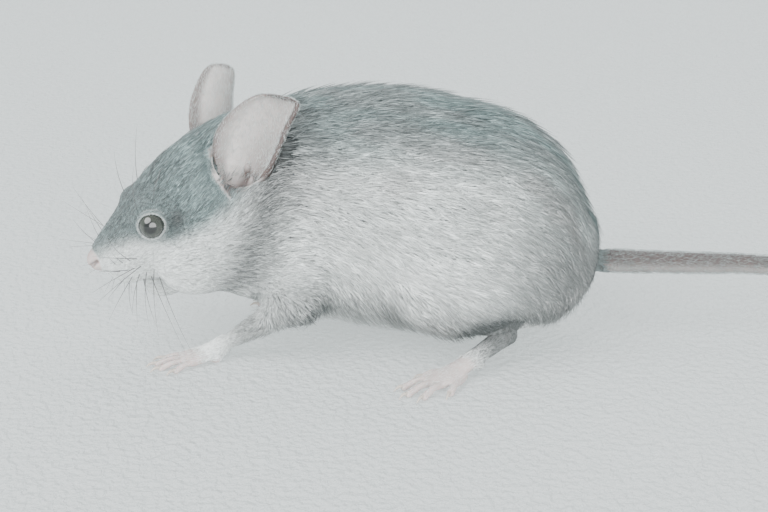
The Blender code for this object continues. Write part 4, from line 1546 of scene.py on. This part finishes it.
rng = np.random.default_rng(11)
for word, side in SIDES.items():
    hairs = []
    for place, normal in WHISKERS[word]:
        head_place = to_head(place)
        back_share = ramp(head_place[1], 2.8, 8.0)
        row = ramp(head_place[2], -0.6, -5.0)  # 0 on the top row, 1 on the lowest
        length = (8 + 10 * back_share) * rng.uniform(0.75, 1.15) * (1 - 0.35 * row)
        # They fan out, from up and forwards in the top row to down and back in the lowest.
        fan = math.radians(88 - 150 * row - 28 * back_share)
        lean = unit(np.array([0.75 * side, -math.cos(fan), math.sin(fan)]) @ HEAD_AXES)
        direction = unit(lean + 0.2 * normal + rng.normal(0, 0.07, 3))
        bow = HEAD_AXES[1] * rng.uniform(0.05, 0.22)
        hairs.append(whisker(place, direction, length, rng.uniform(0.02, 0.1), bow))
    for spot, lean in BROW_HAIRS:
        start = from_head(np.array(spot) * (side, 1, 1))
        place, normal, _, _ = surface.ray_cast(Vector(start), Vector(-HEAD_AXES[2]))
        direction = unit(np.array(lean) * (side, 1, 1) @ HEAD_AXES)
        hairs.append(whisker(np.array(place), direction, rng.uniform(6, 8), 0.02, HEAD_AXES[1] * 0.2))
    piece = joined_piece("whiskers_" + word, hairs, whisker_finish)
    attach(piece, "root")
    print(piece.name, len(hairs), "hairs")

# %% [markdown]
# ## The coat
# Fur is the mouse's real surface. Particle hair looks right but isn't a mesh, so each tuft here is a
# closed spindle of six triangles: a root under the skin, a three-cornered waist, and a tip. Root,
# waist and tip don't lie on one line, so the tuft bends over and lies along the body. About two
# hundred thousand of them overlap like roof tiles. Four rules steer them, all written as functions
# of the place on the skin: which way the coat lies, how long the tufts are, how far they stand up,
# and how many there are. Tufts are shortest and finest on the face and feet.

# %% Which way the coat lies
FLOW_ORIGIN = from_head((0, -1.0, -1.5))  # fur on the head runs away from here


def leaf_share(points, word, reach=0.45):
    """1 on the free part of an ear, by its height over the root."""
    height = (points - EAR_ROOTS[word]) @ ear_axes(word)[1]
    return on_ear(points, word, reach) * ramp(height, 3, 5)


def on_tail(points):
    """0 on the rump, 1 on the tail."""
    return ramp(points[:, 1] - TAIL_ROOT[1], -0.5, 1.5)


def coat_flow(points):
    """Direction that the coat lies in at each point, before it is laid along the skin."""
    around = round_spine(points)
    rump = ramp(points[:, 1], -16, -3)
    down = 0.1 + 0.3 * ramp(around, 0.3, 1.2) + 0.5 * rump + 1.1 * ramp(around, 1.2, 1.5)
    flow = np.column_stack([np.zeros(len(points)), np.ones(len(points)), -down])
    flow += (unit(points - FLOW_ORIGIN) - flow) * head_share(points)[:, None]
    for word in SIDES:
        eye, rise = EYES[word], ear_axes(word)[1]
        flow += unit(points - eye) * (0.9 * hump(gap_to(points, eye), 1.0, 2.0))[:, None]
        flow += rise * (0.9 * hump(gap_to(points, EAR_ROOTS[word]), 4.2))[:, None]
        flow += (rise - flow) * leaf_share(points, word)[:, None]
    flow += (tail_at(tail_distance(points))[1] - flow) * on_tail(points)[:, None]
    for name in JOINTS:
        leg, foot, ahead, down_leg = limb_places(points, name)
        flow += (down_leg - flow) * leg[:, None]
        flow += (foot_direction(name) - flow) * (foot * ramp(ahead, -0.5, 1.5))[:, None]
    bend = 0.22 * swirl(points, 2.2, 8)
    turned = np.column_stack([-flow[:, 1], flow[:, 0], np.zeros(len(points))])
    return unit(flow + turned * bend[:, None] + np.outer(0.12 * swirl(points, 1.6, 9), UP))


def laid(directions, normals):
    """Directions turned to lie along the skin."""
    return unit(directions - normals * np.sum(directions * normals, axis=1)[:, None])


# %% How long and wide the tufts are
# Along the head from the nose tip: distance and tuft length.
HEAD_LENGTHS = np.array([(0, 0.45), (3, 0.75), (6, 1.1), (10, 1.5), (15, 2.1), (20, 2.7), (28, 3.7)])
BACK_LENGTH = 4.4
BELLY_LENGTH = 3.3
ANKLE_LENGTH, TOE_LENGTH, TAIL_FOOT_LENGTH = 0.8, 0.7, 1.6


def tuft_length(points):
    """Length of the tufts at each point."""
    around = round_spine(points)
    length = BACK_LENGTH + (BELLY_LENGTH - BACK_LENGTH) * ramp(around, 0.9, 1.7)
    on_head = np.interp(to_head(points)[:, 1], *HEAD_LENGTHS.T)
    length += (on_head - length) * head_share(points)
    for name, joint in JOINTS.items():
        length = ANKLE_LENGTH + (length - ANKLE_LENGTH) * ramp(gap_to(points, joint), 0.5, 12)
        leg, foot, ahead, _ = limb_places(points, name)
        length *= 1 - 0.45 * leg
        if kind_of(name) == "forefoot":
            length *= 0.55 + 0.45 * ramp(gap_to(points, BENDS[name]), 2.5, 6.5)
        length += (TOE_LENGTH - length) * foot * ramp(ahead, -1.5, 1.0)
    near_tail = ramp(gap_to(points, TAIL_ROOT), 1.5, 9)
    length = TAIL_FOOT_LENGTH + (length - TAIL_FOOT_LENGTH) * near_tail
    for word in SIDES:
        length *= 0.4 + 0.6 * ramp(gap_to(points, EYES[word]), 2.0, 5.5)
        length *= 0.6 + 0.4 * ramp(gap_to(points, EAR_ROOTS[word]), 2.5, 7)
    return length


def tuft_width(length):
    """Long tufts are a little wider than short ones."""
    return 0.05 + 0.026 * length


widths = [round(tuft_width(length), 3) for length in (HEAD_LENGTHS[0, 1], BACK_LENGTH)]
print("width of a tuft on nose and back, mm:", *widths)

# %% Scatter roots over the skin
TUFTS = 226000
skin_surface = surface_of(skin_mesh)
skin_points, skin_normals = mesh_points(skin_mesh), mesh_normals(skin_mesh)
skin_bare = marks[:, 3]
skin_mesh.calc_loop_triangles()
corners = np.empty(len(skin_mesh.loop_triangles) * 3, np.int32)
skin_mesh.loop_triangles.foreach_get("vertices", corners)
corners = corners.reshape(-1, 3)


def scattered(count, density, seed):
    """Random places on the skin, with their normals. Density is given at the skin's points."""
    rng = np.random.default_rng(seed)
    a, b, c = (skin_points[corners[:, k]] for k in range(3))
    area = np.linalg.norm(np.cross(b - a, c - a), axis=1) / 2
    weight = area * density[corners].mean(1)
    chosen = corners[rng.choice(len(corners), count, p=weight / weight.sum())]
    u, v = rng.random((2, count))
    flip = u + v > 1
    u[flip], v[flip] = 1 - u[flip], 1 - v[flip]
    shares = np.column_stack([1 - u - v, u, v])
    places = np.einsum("nk,nkd->nd", shares, skin_points[chosen])
    return places, unit(np.einsum("nk,nkd->nd", shares, skin_normals[chosen]))


length = tuft_length(skin_points)
density = (length * tuft_width(length)) ** -0.72  # many where the tufts are small
density *= 1 - ramp(skin_bare, 0.1, 0.9)
underneath = ramp(round_spine(skin_points), 1.5, 1.9) * (1 - head_share(skin_points))
density *= 1 - 0.35 * underneath
density[eye_distance(skin_points) < EYE_RADIUS + 0.02] = 0  # inside the opening of the lids
for word in SIDES:
    density[leaf_share(skin_points, word, 1.0) > 0.1] = 0
count = TUFTS
roots, root_normals = scattered(count, density, 21)
print("tufts:", len(roots))

# %% Bend the tufts over the body
WAIST_SHARE = 0.42  # of a tuft's length
WAIST_RISE = 0.68  # of the height of its tip
ROOT_DEPTH = 0.12


def followed(points):
    """Nearest places on the skin and their normals."""
    places, normals = np.empty_like(points), np.empty_like(points)
    for k, point in enumerate(points):
        place, normal, _, _ = skin_surface.find_nearest(point)
        places[k], normals[k] = place, normal
    return places, normals


def bent_tufts(roots, normals, length, stand, seed, spread=0.16):
    """Root, waist and tip of each tuft, and the direction across its waist.

    Stand is how high the tips come over the skin."""
    rng = np.random.default_rng(seed)
    count = len(roots)
    length = (length * rng.uniform(0.75, 1.2, count))[:, None]
    stand = (stand * rng.uniform(0.55, 1.12, count))[:, None]
    jitter = rng.normal(0, spread, (count, 3))
    first = laid(coat_flow(roots) + jitter, normals)
    place, normal = followed(roots + first * length * WAIST_SHARE)
    waist = place + normal * (stand * WAIST_RISE + 0.04)
    second = laid(coat_flow(place) + jitter, normal)
    place, tip_normal = followed(place + second * length * (1 - WAIST_SHARE))
    tip = place + tip_normal * stand
    # A tuft beside an ear stays short, or it would come through the leaf.
    for word in SIDES:
        caught = (leaf_share(tip, word, 1.0) > 0.1) & (leaf_share(roots, word) < 0.2)
        caught |= (in_cup(place, word) > 0.2) & (in_cup(roots, word) < 0.2)
        waist[caught] = roots[caught] + normals[caught] * 0.1 + first[caught] * 0.1
        tip[caught] = roots[caught] + normals[caught] * 0.2 + first[caught] * 0.3
    for spots in (waist, tip):
        spots[:, 2] = np.maximum(spots[:, 2], 0.05)  # nothing pokes through the floor
    across = unit(np.cross(normal, second))
    return roots - normals * ROOT_DEPTH, waist, tip, across, normal


# %% Lay the coat out on a flat map
MAP_LINE = np.vstack([from_head([(0, -1, 0), (0, 8, -0.5), (0, 16, -1.5)]), SPINE, [(-1.7, 3.5, 11)]])


def unwrapped(points):
    """Place on the flat map: along the middle line of the body, and round it."""
    y = points[:, 1]
    angle = np.arctan2(*off_middle(points, MAP_LINE))
    return np.column_stack([(y - y.min()) / np.ptp(y), angle / (2 * math.pi) + 0.5])


print("middle line of the map, mm:", np.ptp(MAP_LINE[:, 1]).round(1))

# %% Make tuft meshes
SPINDLE = np.array([(0, 2, 1), (0, 3, 2), (0, 1, 3), (4, 1, 2), (4, 2, 3), (4, 3, 1)])
SPINDLE_ALONG = np.array([0.0, 0.45, 0.45, 0.45, 1.0])
SPINDLE_POINTS = len(SPINDLE_ALONG)
PATCH = 0.003  # size of a tuft's patch on the map
PATCH_CORNERS = np.array([(0.5, 0.0), (0.0, 0.5), (1.0, 0.5), (0.5, 0.6), (0.5, 1.0)])


def tuft_mesh(name, spine, width, shares, places_on_map, seed):
    """Joined spindles with their shares, strand values and map."""
    root, waist, tip, across, normal = spine
    rng = np.random.default_rng(seed)
    count = len(root)
    half = (width / 2)[:, None]
    verts = np.stack([root, waist + across * half, waist - across * half,
                      waist + normal * half * 1.1, tip], axis=1)
    faces = (SPINDLE[None] + SPINDLE_POINTS * np.arange(count)[:, None, None]).reshape(-1, 3)
    mesh = bpy.data.meshes.new(name)
    mesh.vertices.add(count * SPINDLE_POINTS)
    mesh.vertices.foreach_set("co", (verts * MM).astype(np.float32).ravel())
    mesh.loops.add(len(faces) * 3)
    mesh.loops.foreach_set("vertex_index", faces.astype(np.int32).ravel())
    mesh.polygons.add(len(faces))
    mesh.polygons.foreach_set("loop_start", np.arange(0, len(faces) * 3, 3, dtype=np.int32))
    mesh.update(calc_edges=True)
    mesh.shade_smooth()
    write_attribute(mesh, "shares", "FLOAT_COLOR", np.repeat(shares, SPINDLE_POINTS, axis=0))
    chance = np.repeat(rng.random(count), SPINDLE_POINTS)
    strand = np.column_stack([np.tile(SPINDLE_ALONG, count), chance, np.zeros_like(chance)])
    write_attribute(mesh, "strand", "FLOAT_VECTOR", strand)
    corner_map = places_on_map[:, None] * (1 - PATCH) + PATCH_CORNERS[None] * PATCH
    layer = mesh.uv_layers.new(name="OFBake")
    layer.data.foreach_set("uv", corner_map.reshape(-1, 2)[faces.ravel()].astype(np.float32).ravel())
    return mesh


def add_coat(name, mesh):
    """Puts tufts into the scene as a piece of the coat."""
    mesh.materials.append(coat_finish)
    piece = add_object(name, mesh)
    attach(piece, "root")
    print(name, "triangles", len(mesh.polygons))


# %% Coat pieces
COAT_PIECES = ("coat_face", "coat_crown", "coat_neck", "coat_shoulders", "coat_back", "coat_loins",
               "coat_rump")
GUARD_SHARE = 0.09  # how many tufts are longer, darker guard hairs that stand out a little
GUARD_LENGTH, GUARD_STAND, GUARD_WIDTH = 1.3, 1.35, 0.8  # times what the others have there

length = tuft_length(roots)
stand = coat_depth(roots) * 0.97 + 0.06
# Guard hairs are most along the edge of the belly, where the whole coat stands out.
belly_edge = hump(round_spine(roots), 0.14, 1.42) * (1 - head_share(roots))
stand *= 1 + 0.5 * belly_edge
for name in JOINTS:
    _, foot, ahead, _ = limb_places(roots, name)
    stand *= 1 - 0.8 * foot * ramp(ahead, -1.5, 1.5)
stand *= 1 - 0.45 * ramp(roots[:, 1], -8, 1)  # the rump's fur lies close
guard = np.random.default_rng(5).random(count) < GUARD_SHARE + 0.2 * belly_edge
length[guard] *= GUARD_LENGTH
stand[guard] *= GUARD_STAND
width = tuft_width(length) * np.where(guard, GUARD_WIDTH, 1.0)
tufts = bent_tufts(roots, root_normals, length, stand, 33)
shares = markings(tufts[1])
shares[guard, 2] += 0.6 - 0.28 * shares[guard, 0] + 0.4 * belly_edge[guard]
shares[:, 2] = np.clip(shares[:, 2], 0, 1)
shares[:, 3] = 1
order = np.argsort(roots[:, 1], kind="stable")
for k, (name, band) in enumerate(zip(COAT_PIECES, np.array_split(order, len(COAT_PIECES)))):
    part = [rows[band] for rows in tufts]
    mesh = tuft_mesh(name, part, width[band], shares[band], unwrapped(roots[band]), 50 + k)
    add_coat(name, mesh)

# %% Fine hairs on ears, feet and tail
DOWN_HAIRS = 20000
DOWN_WIDTH = 0.035
# Each place: length of the hairs, how high they stand, and their shares of pale and dark.
DOWN = {"ear": (0.75, 0.2, 0.6, 0.1), "foot": (0.8, 0.15, 0.9, 0.0), "tail": (1.1, 0.3, 0.3, 0.4)}


def down_shares(points):
    """How much each point belongs to ear, foot and tail, where bare skin has fine hairs."""
    ear = sum(on_ear(points, word) for word in SIDES)
    feet = (limb_places(points, name) for name in JOINTS)
    foot = np.max([foot * ramp(ahead, -0.5, 2.5) for _, foot, ahead, _ in feet], axis=0)
    foot *= ramp(points[:, 2], 0.5, 1.2)
    return np.clip(np.column_stack([ear, foot, on_tail(points)]), 0, 1)


here = down_shares(skin_points)
down_count = DOWN_HAIRS
down_roots, down_normals = scattered(down_count, here.max(1) * skin_bare, 71)
kind = down_shares(down_roots).argmax(1)
length, stand, pale, dark = np.array(list(DOWN.values()))[kind].T
hairs = bent_tufts(down_roots, down_normals, length, stand, 72, spread=0.3)
shares = np.column_stack([pale, np.zeros(down_count), dark, np.ones(down_count)])
width = np.full(down_count, DOWN_WIDTH)
mesh = tuft_mesh("coat_down", hairs, width, shares, unwrapped(down_roots), 73)
add_coat("coat_down", mesh)
